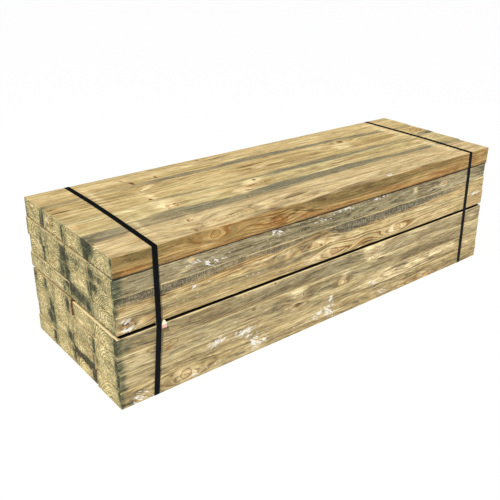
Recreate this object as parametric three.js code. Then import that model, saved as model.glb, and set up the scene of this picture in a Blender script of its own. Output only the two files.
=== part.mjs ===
// A strapped pack of sawn, preservative-treated softwood sleepers: eight tiers of
// four, with thin sticks between the fourth and fifth tier and two embossed
// plastic straps drawn tight round the whole pack.
//
// Millimetres. +X runs along the sleepers, +Y across the pack from its front long
// side (column 4) to its back (column 1), +Z up. The pack is laid out from its
// front bottom near corner and then shifted so that the origin is the bottom
// centre of its box.

import * as THREE from 'three';

// ---------------------------------------------------------------- dimensions
const PACK_WIDTH = 796;          // four sleepers about 198 mm wide, and their gaps
const ARRIS = 2.4;               // broken long edges
const TIER_CLEARANCE = 0.4;      // between the faces of stacked sleepers
const TOUCH = 0.3;               // between any other two faces that touch

const SPACER_THICKNESS = 14;
const SPACER_WIDTH = 38;
const SPACER_NEAR_X = 181;       // near stick, from the near end of the pack
const SPACER_FAR_X = 2217;
const SPACER_FAR_BACK = 30;      // its front end lies back inside the gap
const SPACER_NEAR_PROUD = 17;    // its painted end stands out past the long side,
const SPACER_NEAR_DROP = 8;      // pressed down by the strap drawn over it,
const SPACER_NEAR_END = 17;      // and a little thicker there

const STRAP_WIDTH = 25;
const STRAP_THICKNESS = 1.0;
const STRAP_BEND = 4.0;          // inside radius where it turns over an edge

// Where the middle of each strap crosses the four long edges, from the near end:
// [back top, front top, front bottom, back bottom]
const STRAP_NEAR_X = [205.5, 185.5, 163.5, 180];
const STRAP_FAR_X = [2233, 2208, 2248, 2252];
// and where it passes on the way across the top, as [y, x].
const STRAP_NEAR_VIA = [[560, 206.5], [330, 200.5]];
const STRAP_FAR_VIA = [[330, 2230]];
// The near strap's middle at the upper and lower edge of the proud stick.
const STRAP_NEAR_KNEE = [180, 178.5];

// One row for each tier from the top down, one entry for each column 1 to 4 from
// the back to the front. The sold length is 2400.
// Where each near end lies: set back (+) or standing out (-).
const NEAR_END = [
  [4, 5, 4, 2],
  [0, 0, 0, -2],
  [7, 4, 0.5, 0],
  [1, 1, 3, 3],
  [3, 4, 1, 0],
  [4, 2, -3, -6],
  [6, 4, -6, 0],
  [2, 3, 3, -2],
];
// Where each far end lies.
const FAR_END = [
  [2410, 2400, 2388, 2376],
  [2406, 2396, 2385, 2372],
  [2408, 2400, 2390, 2380],
  [2409, 2401, 2396, 2389],
  [2411, 2403, 2397, 2391],
  [2412, 2403, 2399, 2396],
  [2409, 2404, 2402, 2401],
  [2410, 2405, 2374, 2407],
];
// Front face and back face of each sleeper, from the front of the pack.
const FACES_Y = [
  [[598.0, 795.5], [399.0, 596.5], [201.0, 397.0], [-1.8, 199.0]],
  [[597.5, 795.0], [404.0, 595.5], [209.0, 398.5], [0.0, 201.0]],
  [[598.5, 796.0], [399.5, 596.0], [201.5, 397.5], [0.2, 199.5]],
  [[597.0, 794.0], [398.0, 595.5], [201.0, 396.5], [0.6, 199.0]],
  [[598.0, 795.0], [409.0, 596.5], [201.0, 384.0], [0.0, 199.5]],
  [[599.0, 796.0], [399.0, 597.0], [200.5, 397.0], [-0.6, 198.5]],
  [[597.5, 794.5], [405.0, 596.0], [200.5, 390.5], [0.4, 199.0]],
  [[598.0, 795.5], [398.5, 596.0], [211.0, 396.5], [-0.4, 200.0]],
];
// Thickness of each sleeper. Above the sticks each column is sawn to its own
// sizes, and all four columns come to the same height.
const THICKNESS = [
  [92, 91, 90, 88],
  [85, 85, 83, 82],
  [85, 84, 83, 82],
  [72, 74, 78, 82],
  [82, 82, 82, 82],
  [82, 82, 82, 82],
  [82, 82, 82, 82],
  [82, 82, 82, 82],
];

// ------------------------------------------------------------------- levels
// Underside of each sleeper, from the bottom tier (index 7) to the top one
// (index 0), column by column.
const BOTTOM = STRAP_THICKNESS + TOUCH;
const underside = THICKNESS.map((row) => row.map(() => 0));
for (let column = 0; column < 4; column += 1) {
  let z = BOTTOM;
  for (let tier = 7; tier >= 0; tier -= 1) {
    underside[tier][column] = z;
    z += THICKNESS[tier][column];
    z += tier === 4 ? SPACER_THICKNESS + 2 * TOUCH : TIER_CLEARANCE;
  }
}
const TOP = underside[0][3] + THICKNESS[0][3];
const SPACER_Z = underside[4][3] + THICKNESS[4][3] + TOUCH;

// ---------------------------------------------------------------- materials
const timberTints = [0xc2ad78, 0xb8a673, 0xcbb07a, 0xb5a877, 0xbfa56d, 0xad9e6e];
let tint = 0;
const timber = () => {
  tint += 5;
  return new THREE.MeshStandardMaterial({
    color: timberTints[tint % timberTints.length], roughness: 0.86, metalness: 0,
  });
};
const stick = () => new THREE.MeshStandardMaterial({
  color: 0xd9c79a, roughness: 0.85, metalness: 0,
});
const strapping = () => new THREE.MeshStandardMaterial({
  color: 0x15181c, roughness: 0.42, metalness: 0,
});

// ------------------------------------------------------------------- pieces
const pack = new THREE.Group();
pack.name = 'sleeper_pack';

// A sawn length: a rectangle with its four long edges broken, drawn in Y and Z
// and run along X.
function sawnLength(x0, x1, y0, y1, z0, z1, edge, steps) {
  const s = new THREE.Shape();
  s.moveTo(y0 + edge, z0);
  s.lineTo(y1 - edge, z0);
  s.lineTo(y1, z0 + edge);
  s.lineTo(y1, z1 - edge);
  s.lineTo(y1 - edge, z1);
  s.lineTo(y0 + edge, z1);
  s.lineTo(y0, z1 - edge);
  s.lineTo(y0, z0 + edge);
  s.closePath();
  const g = new THREE.ExtrudeGeometry(s, { depth: x1 - x0, bevelEnabled: false, steps });
  // The shape's x, y and depth become Y, Z and X.
  g.applyMatrix4(new THREE.Matrix4().set(
    0, 0, 1, x0,
    1, 0, 0, 0,
    0, 1, 0, 0,
    0, 0, 0, 1,
  ));
  return g;
}

for (let tier = 0; tier < 8; tier += 1) {
  for (let column = 0; column < 4; column += 1) {
    const x0 = NEAR_END[tier][column];
    const x1 = FAR_END[tier][column];
    const [y0, y1] = FACES_Y[tier][column];
    const z0 = underside[tier][column];
    const z1 = z0 + THICKNESS[tier][column];
    // The top tier is divided lengthwise, so that it has flat facets clear of the straps.
    const steps = tier === 0 ? 4 : 1;
    const mesh = new THREE.Mesh(sawnLength(x0, x1, y0, y1, z0, z1, ARRIS, steps), timber());
    mesh.name = `sleeper_t${tier + 1}_c${column + 1}`;
    pack.add(mesh);
  }
}

// The two sticks lie crosswise on tier 5. Their side view is drawn in Y and Z and
// run along X.
function spacer(name, x0, outline) {
  const s = new THREE.Shape();
  outline.forEach(([y, z], i) => (i === 0 ? s.moveTo(y, z) : s.lineTo(y, z)));
  s.closePath();
  const g = new THREE.ExtrudeGeometry(s, { depth: SPACER_WIDTH, bevelEnabled: false, steps: 1 });
  g.applyMatrix4(new THREE.Matrix4().set(
    0, 0, 1, x0,
    1, 0, 0, 0,
    0, 1, 0, 0,
    0, 0, 0, 1,
  ));
  const mesh = new THREE.Mesh(g, stick());
  mesh.name = name;
  pack.add(mesh);
}
const SPACER_TOP = SPACER_Z + SPACER_THICKNESS;
const DROP_TOP = SPACER_TOP - SPACER_NEAR_DROP;
const DROP_BOTTOM = DROP_TOP - SPACER_NEAR_END;
spacer('spacer_near', SPACER_NEAR_X, [
  [791, SPACER_Z],
  [791, SPACER_TOP],
  [-1.5, SPACER_TOP],
  [-SPACER_NEAR_PROUD, DROP_TOP],
  [-SPACER_NEAR_PROUD, DROP_BOTTOM],
  [-2, SPACER_Z - 3],
  [0.5, SPACER_Z],
]);
spacer('spacer_far', SPACER_FAR_X, [
  [787, SPACER_Z],
  [787, SPACER_TOP],
  [SPACER_FAR_BACK, SPACER_TOP],
  [SPACER_FAR_BACK, SPACER_Z],
]);

// A strap is a closed flat ring. Its inside line is drawn round the pack in Y and
// Z, rounded at each bend, and the ring is that line thickened outwards. Its
// middle moves along X from one long edge to the next, because it was drawn
// tight a little out of square.
function strapRing(corners, width, thickness) {
  // corners: [y, z, x of the middle, bend radius], in order round the pack. A
  // radius of 0 is a point on a straight run.
  const line = [];
  const n = corners.length;
  for (let i = 0; i < n; i += 1) {
    const [py, pz, px] = corners[(i + n - 1) % n];
    const [cy, cz, cx, r] = corners[i];
    const [ny, nz, nx] = corners[(i + 1) % n];
    const inV = new THREE.Vector2(cy - py, cz - pz);
    const outV = new THREE.Vector2(ny - cy, nz - cz);
    const inL = inV.length();
    const outL = outV.length();
    inV.normalize();
    outV.normalize();
    const turn = Math.atan2(inV.x * outV.y - inV.y * outV.x, inV.dot(outV));
    if (r === 0) {
      // A point passed on a straight run, where only x changes its course.
      line.push({ y: cy, z: cz, ny: inV.y, nz: -inV.x, x: cx });
      continue;
    }
    const back = r * Math.tan(Math.abs(turn) / 2);
    const steps = Math.max(1, Math.round(Math.abs(turn) / (Math.PI / 10)));
    // Centre of the bend lies inside the ring.
    const side = new THREE.Vector2(-inV.y, inV.x).multiplyScalar(Math.sign(turn));
    const ox = cy - inV.x * back + side.x * r;
    const oz = cz - inV.y * back + side.y * r;
    for (let k = 0; k <= steps; k += 1) {
      const a = (turn * k) / steps;
      const radial = new THREE.Vector2(-side.x, -side.y).rotateAround(new THREE.Vector2(0, 0), a);
      const f = k / steps;
      const xIn = cx + ((px - cx) * back) / inL;
      const xOut = cx + ((nx - cx) * back) / outL;
      line.push({
        y: ox + radial.x * r,
        z: oz + radial.y * r,
        ny: radial.x * Math.sign(turn) * (turn > 0 ? 1 : -1),
        nz: radial.y * Math.sign(turn) * (turn > 0 ? 1 : -1),
        x: xIn + (xOut - xIn) * f,
      });
    }
  }
  const m = line.length;
  const positions = [];
  for (const p of line) {
    const oy = p.y + p.ny * thickness;
    const oz = p.z + p.nz * thickness;
    positions.push(p.x - width / 2, p.y, p.z);   // 0 inside, near side
    positions.push(p.x + width / 2, p.y, p.z);   // 1 inside, far side
    positions.push(p.x + width / 2, oy, oz);     // 2 outside, far side
    positions.push(p.x - width / 2, oy, oz);     // 3 outside, near side
  }
  const index = [];
  for (let i = 0; i < m; i += 1) {
    const a = 4 * i;
    const b = 4 * ((i + 1) % m);
    for (let k = 0; k < 4; k += 1) {
      const k2 = (k + 1) % 4;
      index.push(a + k, a + k2, b + k2, a + k, b + k2, b + k);
    }
  }
  const g = new THREE.BufferGeometry();
  g.setAttribute('position', new THREE.Float32BufferAttribute(positions, 3));
  g.setIndex(index);
  // The faces point out when the signed volume is positive.
  let volume = 0;
  const v = (i) => new THREE.Vector3(positions[3 * i], positions[3 * i + 1], positions[3 * i + 2]);
  for (let i = 0; i < index.length; i += 3) {
    volume += v(index[i]).dot(v(index[i + 1]).cross(v(index[i + 2])));
  }
  if (volume < 0) {
    for (let i = 0; i < index.length; i += 3) {
      [index[i + 1], index[i + 2]] = [index[i + 2], index[i + 1]];
    }
    g.setIndex(index);
  }
  g.computeVertexNormals();
  return g;
}

const wrap = {
  top: TOP + TOUCH,
  bottom: BOTTOM - TOUCH,
  back: PACK_WIDTH + TOUCH,
  frontTop: -1.8 - TOUCH,
  frontBottom: -0.6 - TOUCH,
};

// Near strap: its front run stands off the long side over the proud stick's end.
{
  const [backTop, frontTop, frontBottom, backBottom] = STRAP_NEAR_X;
  const off = -SPACER_NEAR_PROUD - TOUCH;
  const mesh = new THREE.Mesh(strapRing([
    [wrap.back, wrap.bottom, backBottom, STRAP_BEND],
    [wrap.back, wrap.top, backTop, STRAP_BEND],
    ...STRAP_NEAR_VIA.map(([y, x]) => [y, wrap.top, x, 0]),
    [wrap.frontTop, wrap.top, frontTop, STRAP_BEND],
    [off, DROP_TOP, STRAP_NEAR_KNEE[0], 1.5],
    [off, DROP_BOTTOM, STRAP_NEAR_KNEE[1], 1.5],
    [wrap.frontBottom, wrap.bottom, frontBottom, STRAP_BEND],
  ], STRAP_WIDTH, STRAP_THICKNESS), strapping());
  mesh.name = 'strap_near';
  pack.add(mesh);
}
// Far strap: a plain ring.
{
  const [backTop, frontTop, frontBottom, backBottom] = STRAP_FAR_X;
  const mesh = new THREE.Mesh(strapRing([
    [wrap.back, wrap.bottom, backBottom, STRAP_BEND],
    [wrap.back, wrap.top, backTop, STRAP_BEND],
    ...STRAP_FAR_VIA.map(([y, x]) => [y, wrap.top, x, 0]),
    [wrap.frontTop, wrap.top, frontTop, STRAP_BEND],
    [wrap.frontBottom, wrap.bottom, frontBottom, STRAP_BEND],
  ], STRAP_WIDTH, STRAP_THICKNESS), strapping());
  mesh.name = 'strap_far';
  pack.add(mesh);
}

// Shift the pack so that the origin is the bottom centre of its box.
pack.updateMatrixWorld(true);
const box = new THREE.Box3().setFromObject(pack);
pack.position.set(
  -(box.min.x + box.max.x) / 2,
  -(box.min.y + box.max.y) / 2,
  -box.min.z,
);
pack.updateMatrixWorld(true);

export default pack;
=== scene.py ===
import math
import bpy
import numpy as np
from mathutils import Matrix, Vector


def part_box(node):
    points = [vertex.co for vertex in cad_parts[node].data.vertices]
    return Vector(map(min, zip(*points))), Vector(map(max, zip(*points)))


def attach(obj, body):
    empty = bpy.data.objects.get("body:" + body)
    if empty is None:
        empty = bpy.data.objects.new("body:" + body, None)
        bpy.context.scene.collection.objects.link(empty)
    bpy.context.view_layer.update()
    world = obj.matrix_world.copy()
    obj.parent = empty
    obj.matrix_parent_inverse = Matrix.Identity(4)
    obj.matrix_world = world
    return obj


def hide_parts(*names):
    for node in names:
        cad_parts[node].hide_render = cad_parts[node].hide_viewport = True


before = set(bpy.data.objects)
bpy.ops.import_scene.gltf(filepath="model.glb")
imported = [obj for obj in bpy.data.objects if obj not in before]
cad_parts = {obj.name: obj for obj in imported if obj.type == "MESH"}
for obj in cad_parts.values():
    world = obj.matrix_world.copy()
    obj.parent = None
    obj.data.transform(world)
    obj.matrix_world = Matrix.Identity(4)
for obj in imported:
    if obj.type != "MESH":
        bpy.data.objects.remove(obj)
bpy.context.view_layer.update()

# The pack is described below in its layout frame, in millimetres: x from the near
# end, y from the front long side to the back, z up. This turns it into metres in
# the frame of the CAD model.
SHIFT_X, SHIFT_Y = 1203.0, 389.5


def place(x, y, z):
    return ((x - SHIFT_X) / 1000.0, (y - SHIFT_Y) / 1000.0, z / 1000.0)


def lin(r, g, b):
    """A colour in linear light from 0..255 display values."""
    def one(v):
        v /= 255.0
        return v / 12.92 if v <= 0.04045 else ((v + 0.055) / 1.055) ** 2.4
    return (one(r), one(g), one(b), 1.0)


# --------------------------------------------------------------------- nodes
class Nodes:
    """Short names for building a node tree."""

    def __init__(self, tree):
        self.t = tree

    def new(self, kind, **settings):
        n = self.t.nodes.new(kind)
        for k, v in settings.items():
            setattr(n, k, v)
        return n

    def put(self, socket, value):
        if isinstance(value, bpy.types.NodeSocket):
            self.t.links.new(value, socket)
        elif value is not None:
            socket.default_value = value

    def m(self, op, *values, clamp=False):
        n = self.new("ShaderNodeMath", operation=op, use_clamp=clamp)
        for s, v in zip(n.inputs, values):
            self.put(s, v)
        return n.outputs[0]

    def v(self, op, *values):
        n = self.new("ShaderNodeVectorMath", operation=op)
        for s, v in zip(n.inputs, values):
            self.put(s, v)
        return n.outputs["Value" if op in ("LENGTH", "DOT_PRODUCT", "DISTANCE") else "Vector"]

    def scale(self, vector, by):
        n = self.new("ShaderNodeVectorMath", operation="SCALE")
        self.put(n.inputs[0], vector)
        self.put(n.inputs["Scale"], by)
        return n.outputs["Vector"]

    def noise(self, vector, detail=2.0, rough=0.5, colour=False, distortion=0.0):
        n = self.new("ShaderNodeTexNoise", noise_dimensions="3D")
        self.put(n.inputs["Vector"], vector)
        n.inputs["Scale"].default_value = 1.0
        n.inputs["Detail"].default_value = detail
        n.inputs["Roughness"].default_value = rough
        n.inputs["Distortion"].default_value = distortion
        return n.outputs["Color" if colour else "Fac"]

    def step(self, value, low, high, to_low=0.0, to_high=1.0):
        n = self.new("ShaderNodeMapRange", interpolation_type="SMOOTHSTEP", clamp=True)
        self.put(n.inputs["Value"], value)
        n.inputs["From Min"].default_value = low
        n.inputs["From Max"].default_value = high
        n.inputs["To Min"].default_value = to_low
        n.inputs["To Max"].default_value = to_high
        return n.outputs["Result"]

    def mix(self, factor, a, b, blend="MIX"):
        n = self.new("ShaderNodeMix", data_type="RGBA", blend_type=blend, clamp_factor=True)
        self.put(n.inputs[0], factor)
        self.put(n.inputs[6], a)
        self.put(n.inputs[7], b)
        return n.outputs[2]

    def xyz(self, vector):
        n = self.new("ShaderNodeSeparateXYZ")
        self.put(n.inputs[0], vector)
        return n.outputs

    def along(self, x, points):
        """Three numbers that follow x, from a list of (x in mm, a, b, c) with a and b in mm."""
        n = self.new("ShaderNodeValToRGB")
        ramp = n.color_ramp
        ramp.interpolation = "LINEAR"
        for k, (at, a, b, c) in enumerate(points):
            e = ramp.elements[k] if k < 2 else ramp.elements.new(at / 2450.0)
            e.position = at / 2450.0
            e.color = (a / 1000.0, b / 1000.0, c, 1.0)
        self.put(n.inputs[0], self.m("DIVIDE", self.m("ADD", x, SHIFT_X / 1000.0), 2.45))
        return self.xyz(n.outputs[0])

    def join(self, x, y, z):
        n = self.new("ShaderNodeCombineXYZ")
        for s, v in zip(n.inputs, (x, y, z)):
            self.put(s, v)
        return n.outputs[0]


def group(name, inputs, outputs, fill):
    tree = bpy.data.node_groups.new(name, "ShaderNodeTree")
    for n, kind in inputs:
        tree.interface.new_socket(n, in_out="INPUT", socket_type=kind)
    for n, kind in outputs:
        tree.interface.new_socket(n, in_out="OUTPUT", socket_type=kind)
    g = Nodes(tree)
    gin = g.new("NodeGroupInput")
    gout = g.new("NodeGroupOutput")
    for n, v in fill(g, gin.outputs).items():
        tree.links.new(v, gout.inputs[n])
    return tree


# How far a point is from a spot, in spot radii, kept if it is nearer than before.
# A and B are the spot's two directions across the face, C is through it. Box makes
# it a rounded rectangle.
def _spot(g, i):
    d = g.v("SUBTRACT", i["P"], i["O"])
    a, b, c = (g.v("DOT_PRODUCT", d, i[k]) for k in "ABC")
    round_ = g.v("LENGTH", g.join(a, b, c))
    box = g.m("MAXIMUM", g.m("MAXIMUM", g.m("ABSOLUTE", a), g.m("ABSOLUTE", b)), g.m("ABSOLUTE", c))
    q = g.m("ADD", g.m("MULTIPLY", round_, g.m("SUBTRACT", 1.0, i["Box"])), g.m("MULTIPLY", box, i["Box"]))
    return {"Q": g.m("MINIMUM", g.m("ADD", q, i["Bias"]), i["Q"])}


SPOT = group(
    "spot",
    [("P", "NodeSocketVector"), ("O", "NodeSocketVector"), ("A", "NodeSocketVector"), ("B", "NodeSocketVector"),
     ("C", "NodeSocketVector"), ("Box", "NodeSocketFloat"), ("Bias", "NodeSocketFloat"), ("Q", "NodeSocketFloat")],
    [("Q", "NodeSocketFloat")], _spot)


# A knot: the spot, and the push that bends the growth rings round it.
def _knot(g, i):
    d = g.v("SUBTRACT", i["P"], i["C"])
    u = g.v("MULTIPLY", d, i["U"])
    q = g.v("LENGTH", u)
    far = g.v("LENGTH", g.v("MULTIPLY", u, (0.42, 1.0, 1.0)))
    fall = g.step(far, 0.35, 3.6, 1.0, 0.0)
    push = g.scale(g.v("MULTIPLY", d, i["K"]), fall)
    rise = g.m("MULTIPLY_ADD", g.step(g.v("LENGTH", g.v("MULTIPLY", u, (0.6, 1.0, 1.0))), 0.0, 2.6, 1.0, 0.0), i["H"], i["Rise"])
    return {"Q": g.m("MINIMUM", q, i["Q"]), "Bent": g.v("SUBTRACT", i["Bent"], push), "Rise": rise}


KNOT = group(
    "knot",
    [("P", "NodeSocketVector"), ("C", "NodeSocketVector"), ("U", "NodeSocketVector"),
     ("K", "NodeSocketVector"), ("Q", "NodeSocketFloat"), ("Bent", "NodeSocketVector"),
     ("H", "NodeSocketFloat"), ("Rise", "NodeSocketFloat")],
    [("Q", "NodeSocketFloat"), ("Bent", "NodeSocketVector"), ("Rise", "NodeSocketFloat")], _knot)


# ------------------------------------------------------------------ features
# Each is (face, x or y from, to, y or z from, to, weakness). Faces: "F" the front
# long side, "T" the top, "B" the back, "N" the near end, "E" the far end. A spot
# on a long face is given as x and height (F, B) or x and y (T), on an end as y
# and height, all in mm.
def spot_of(f):
    """Its middle and size on each axis."""
    face, a0, a1, b0, b1 = f[:5]
    bias = f[5] if len(f) > 5 else 0.0
    ca, cb, ha, hb = (a0 + a1) / 2, (b0 + b1) / 2, abs(a1 - a0) / 2, abs(b1 - b0) / 2
    ua, ub = 1000.0 / ha, 1000.0 / hb
    if face == "F":
        return place(ca, 0, cb), (ua, 1000.0 / 60, ub), bias
    if face == "B":
        return place(ca, 796, cb), (ua, 1000.0 / 60, ub), bias
    if face == "T":
        return place(ca, cb, 681), (ua, ub, 1000.0 / 60), bias
    if face == "N":
        return place(0, ca, cb), (1000.0 / 30, ua, ub), bias
    return place(2400, ca, cb), (1000.0 / 60, ua, ub), bias


def turned(f):
    """A spot with its two directions, turned by its angle in degrees (the seventh number) and boxy or not (the eighth)."""
    middle, (ux, uy, uz), bias = spot_of(f)
    turn, box = (f[6] if len(f) > 6 else 0.0), (f[7] if len(f) > 7 else 0.0)
    ca, sa = math.cos(math.radians(turn)), math.sin(math.radians(turn))
    if f[0] in "FB":
        a, b, c = (ca * ux, 0, sa * ux), (-sa * uz, 0, ca * uz), (0, uy, 0)
    elif f[0] == "T":
        a, b, c = (ca * ux, sa * ux, 0), (-sa * uy, ca * uy, 0), (0, 0, uz)
    else:
        a, b, c = (0, ca * uy, sa * uy), (0, -sa * uz, ca * uz), (ux, 0, 0)
    return middle, a, b, c, box, bias


def touches(f, box, margin=25):
    """True if this feature reaches the sleeper with this box, in layout mm."""
    (x0, y0, z0), (x1, y1, z1) = box
    face, a0, a1, b0, b1 = f[:5]
    a0, a1, b0, b1 = min(a0, a1), max(a0, a1), min(b0, b1), max(b0, b1)
    if face in "FB":
        ok = (y0 < 60) if face == "F" else (y1 > 740)
        return ok and a0 - margin < x1 and a1 + margin > x0 and b0 - margin * 0.3 < z1 and b1 + margin * 0.3 > z0
    if face == "T":
        return z1 > 640 and a0 - margin < x1 and a1 + margin > x0 and b0 - margin * 0.3 < y1 and b1 + margin * 0.3 > y0
    return a0 - 4 < y1 and a1 + 4 > y0 and b0 - 4 < z1 and b1 + 4 > z0


def F(x0, x1, v0, v1, bias=0.0, turn=0.0, box=0.0):
    """A feature on the front long side: x, and v down from the top, in units of 1.25 mm."""
    return ("F", 1.25 * x0, 1.25 * x1, 682 - 1.25 * v1, 682 - 1.25 * v0, bias, turn, box)


def T(x0, x1, v0, v1, bias=0.0, turn=0.0, box=0.0):
    """A feature on the top: x, and v forward from the back edge, in units of 1.25 mm."""
    return ("T", 1.25 * x0, 1.25 * x1, 796 - 1.25 * v1, 796 - 1.25 * v0, bias, turn, box)


def N(u0, u1, v0, v1, bias=0.0, turn=0.0, box=0.0):
    """A feature on the near end: u forward from the back edge, v down from the top, in units of 0.833 mm."""
    return ("N", 796 - u1 / 1.2, 796 - u0 / 1.2, 682 - v1 / 1.2, 682 - v0 / 1.2, bias, turn, box)


RING_KNOTS = [   # sound knots, pale inside a thin dark ring
    F(360, 398, 9, 35), F(228, 272, 494, 530), F(990, 1020, 386, 410), F(497, 513, 286, 298), F(641, 655, 284, 296),
    T(340, 360, 522, 540), T(640, 668, 598, 612), T(474, 488, 12, 24), T(728, 748, 12, 26),
    T(312, 326, 604, 616), ("B", 420, 455, 600, 640), ("B", 1220, 1262, 520, 552), ("B", 1800, 1850, 610, 650),
    ("B", 330, 372, 270, 306), ("B", 990, 1040, 190, 226), ("B", 620, 664, 24, 60), ("B", 2040, 2074, 30, 62),
]
KNOTS = [   # orange brown knots
    F(1590, 1612, 102, 114), F(277, 287, 84, 94), F(20, 44, 232, 250), F(925, 962, 232, 256), F(1290, 1330, 226, 248),
    F(836, 854, 184, 200), F(1530, 1580, 524, 548), F(748, 782, 414, 428),
    T(1406, 1440, 158, 186), T(1322, 1345, 228, 244), T(355, 372, 372, 386), T(384, 400, 384, 396), T(1730, 1746, 388, 400),
    T(1868, 1884, 228, 240), T(1880, 1902, 254, 266), T(676, 692, 414, 426), T(6, 22, 356, 372), T(345, 366, 54, 66),
    ("B", 760, 790, 450, 478), ("B", 1500, 1540, 440, 474), ("B", 1640, 1676, 280, 306), ("B", 1320, 1356, 100, 136),
    ("B", 560, 590, 366, 392), ("N", 706, 744, 640, 672),
]
DARK_KNOTS = [   # small dead knots
    T(341, 353, 288, 298), T(768, 783, 341, 354), T(487, 494, 88, 104), T(798, 806, 382, 390),
    ("B", 1010, 1026, 630, 646), ("B", 1950, 1972, 200, 222), ("B", 210, 224, 470, 482),
]
# Swirling grain: half its size is the eye. The last number is how far the rings move, mm.
WHORLS = [
    F(600, 690, 24, 66) + (12,), F(800, 940, 150, 215) + (-30,), F(470, 620, 146, 200) + (-14,), F(900, 1000, 216, 262) + (16,),
    F(1260, 1360, 212, 256) + (18,), F(1130, 1235, 280, 344) + (22,), F(735, 800, 360, 430) + (9,), F(270, 440, 288, 336) + (20,),
    F(1160, 1500, 424, 470) + (14,), F(975, 1040, 380, 415) + (5,), F(205, 300, 490, 545) + (14,), F(10, 90, 228, 262) + (14,),
    F(1440, 1640, 500, 560) + (16,), F(330, 420, 4, 40) + (10,), F(1480, 1700, 100, 124) + (6,), F(1060, 1180, 228, 262) + (-8,),
    T(330, 450, 150, 215) + (12,), T(300, 410, 340, 410) + (14,), T(640, 800, 340, 430) + (16,), T(300, 370, 510, 590) + (12,),
    T(600, 690, 540, 620) + (14,), T(1340, 1440, 160, 230) + (14,), T(820, 960, 190, 260) + (2,), T(1690, 1770, 350, 400) + (12,),
    T(720, 780, 10, 60) + (10,), T(1840, 1910, 210, 280) + (14,), T(1030, 1300, 366, 392) + (7,),
    ("B", 380, 500, 595, 655, 0.0, 14), ("B", 1200, 1290, 515, 560, 0.0, 14), ("B", 940, 1090, 185, 236, 0.0, 16),
    ("B", 1780, 1880, 605, 660, 0.0, 12), ("B", 1480, 1560, 435, 480, 0.0, 12), ("B", 600, 690, 20, 66, 0.0, 10),
]
# Bands along a face: (face, colour, softness in mm, [(x, from, to, strength) ...]) in mm.
def band_f(colour, soft, *points):
    return ("F", colour, soft, [(1.25 * x, 682 - 1.25 * b, 682 - 1.25 * a, w) for x, a, b, w in points])


def band_t(colour, soft, *points):
    return ("T", colour, soft, [(1.25 * x, 796 - 1.25 * b, 796 - 1.25 * a, w) for x, a, b, w in points])


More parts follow.
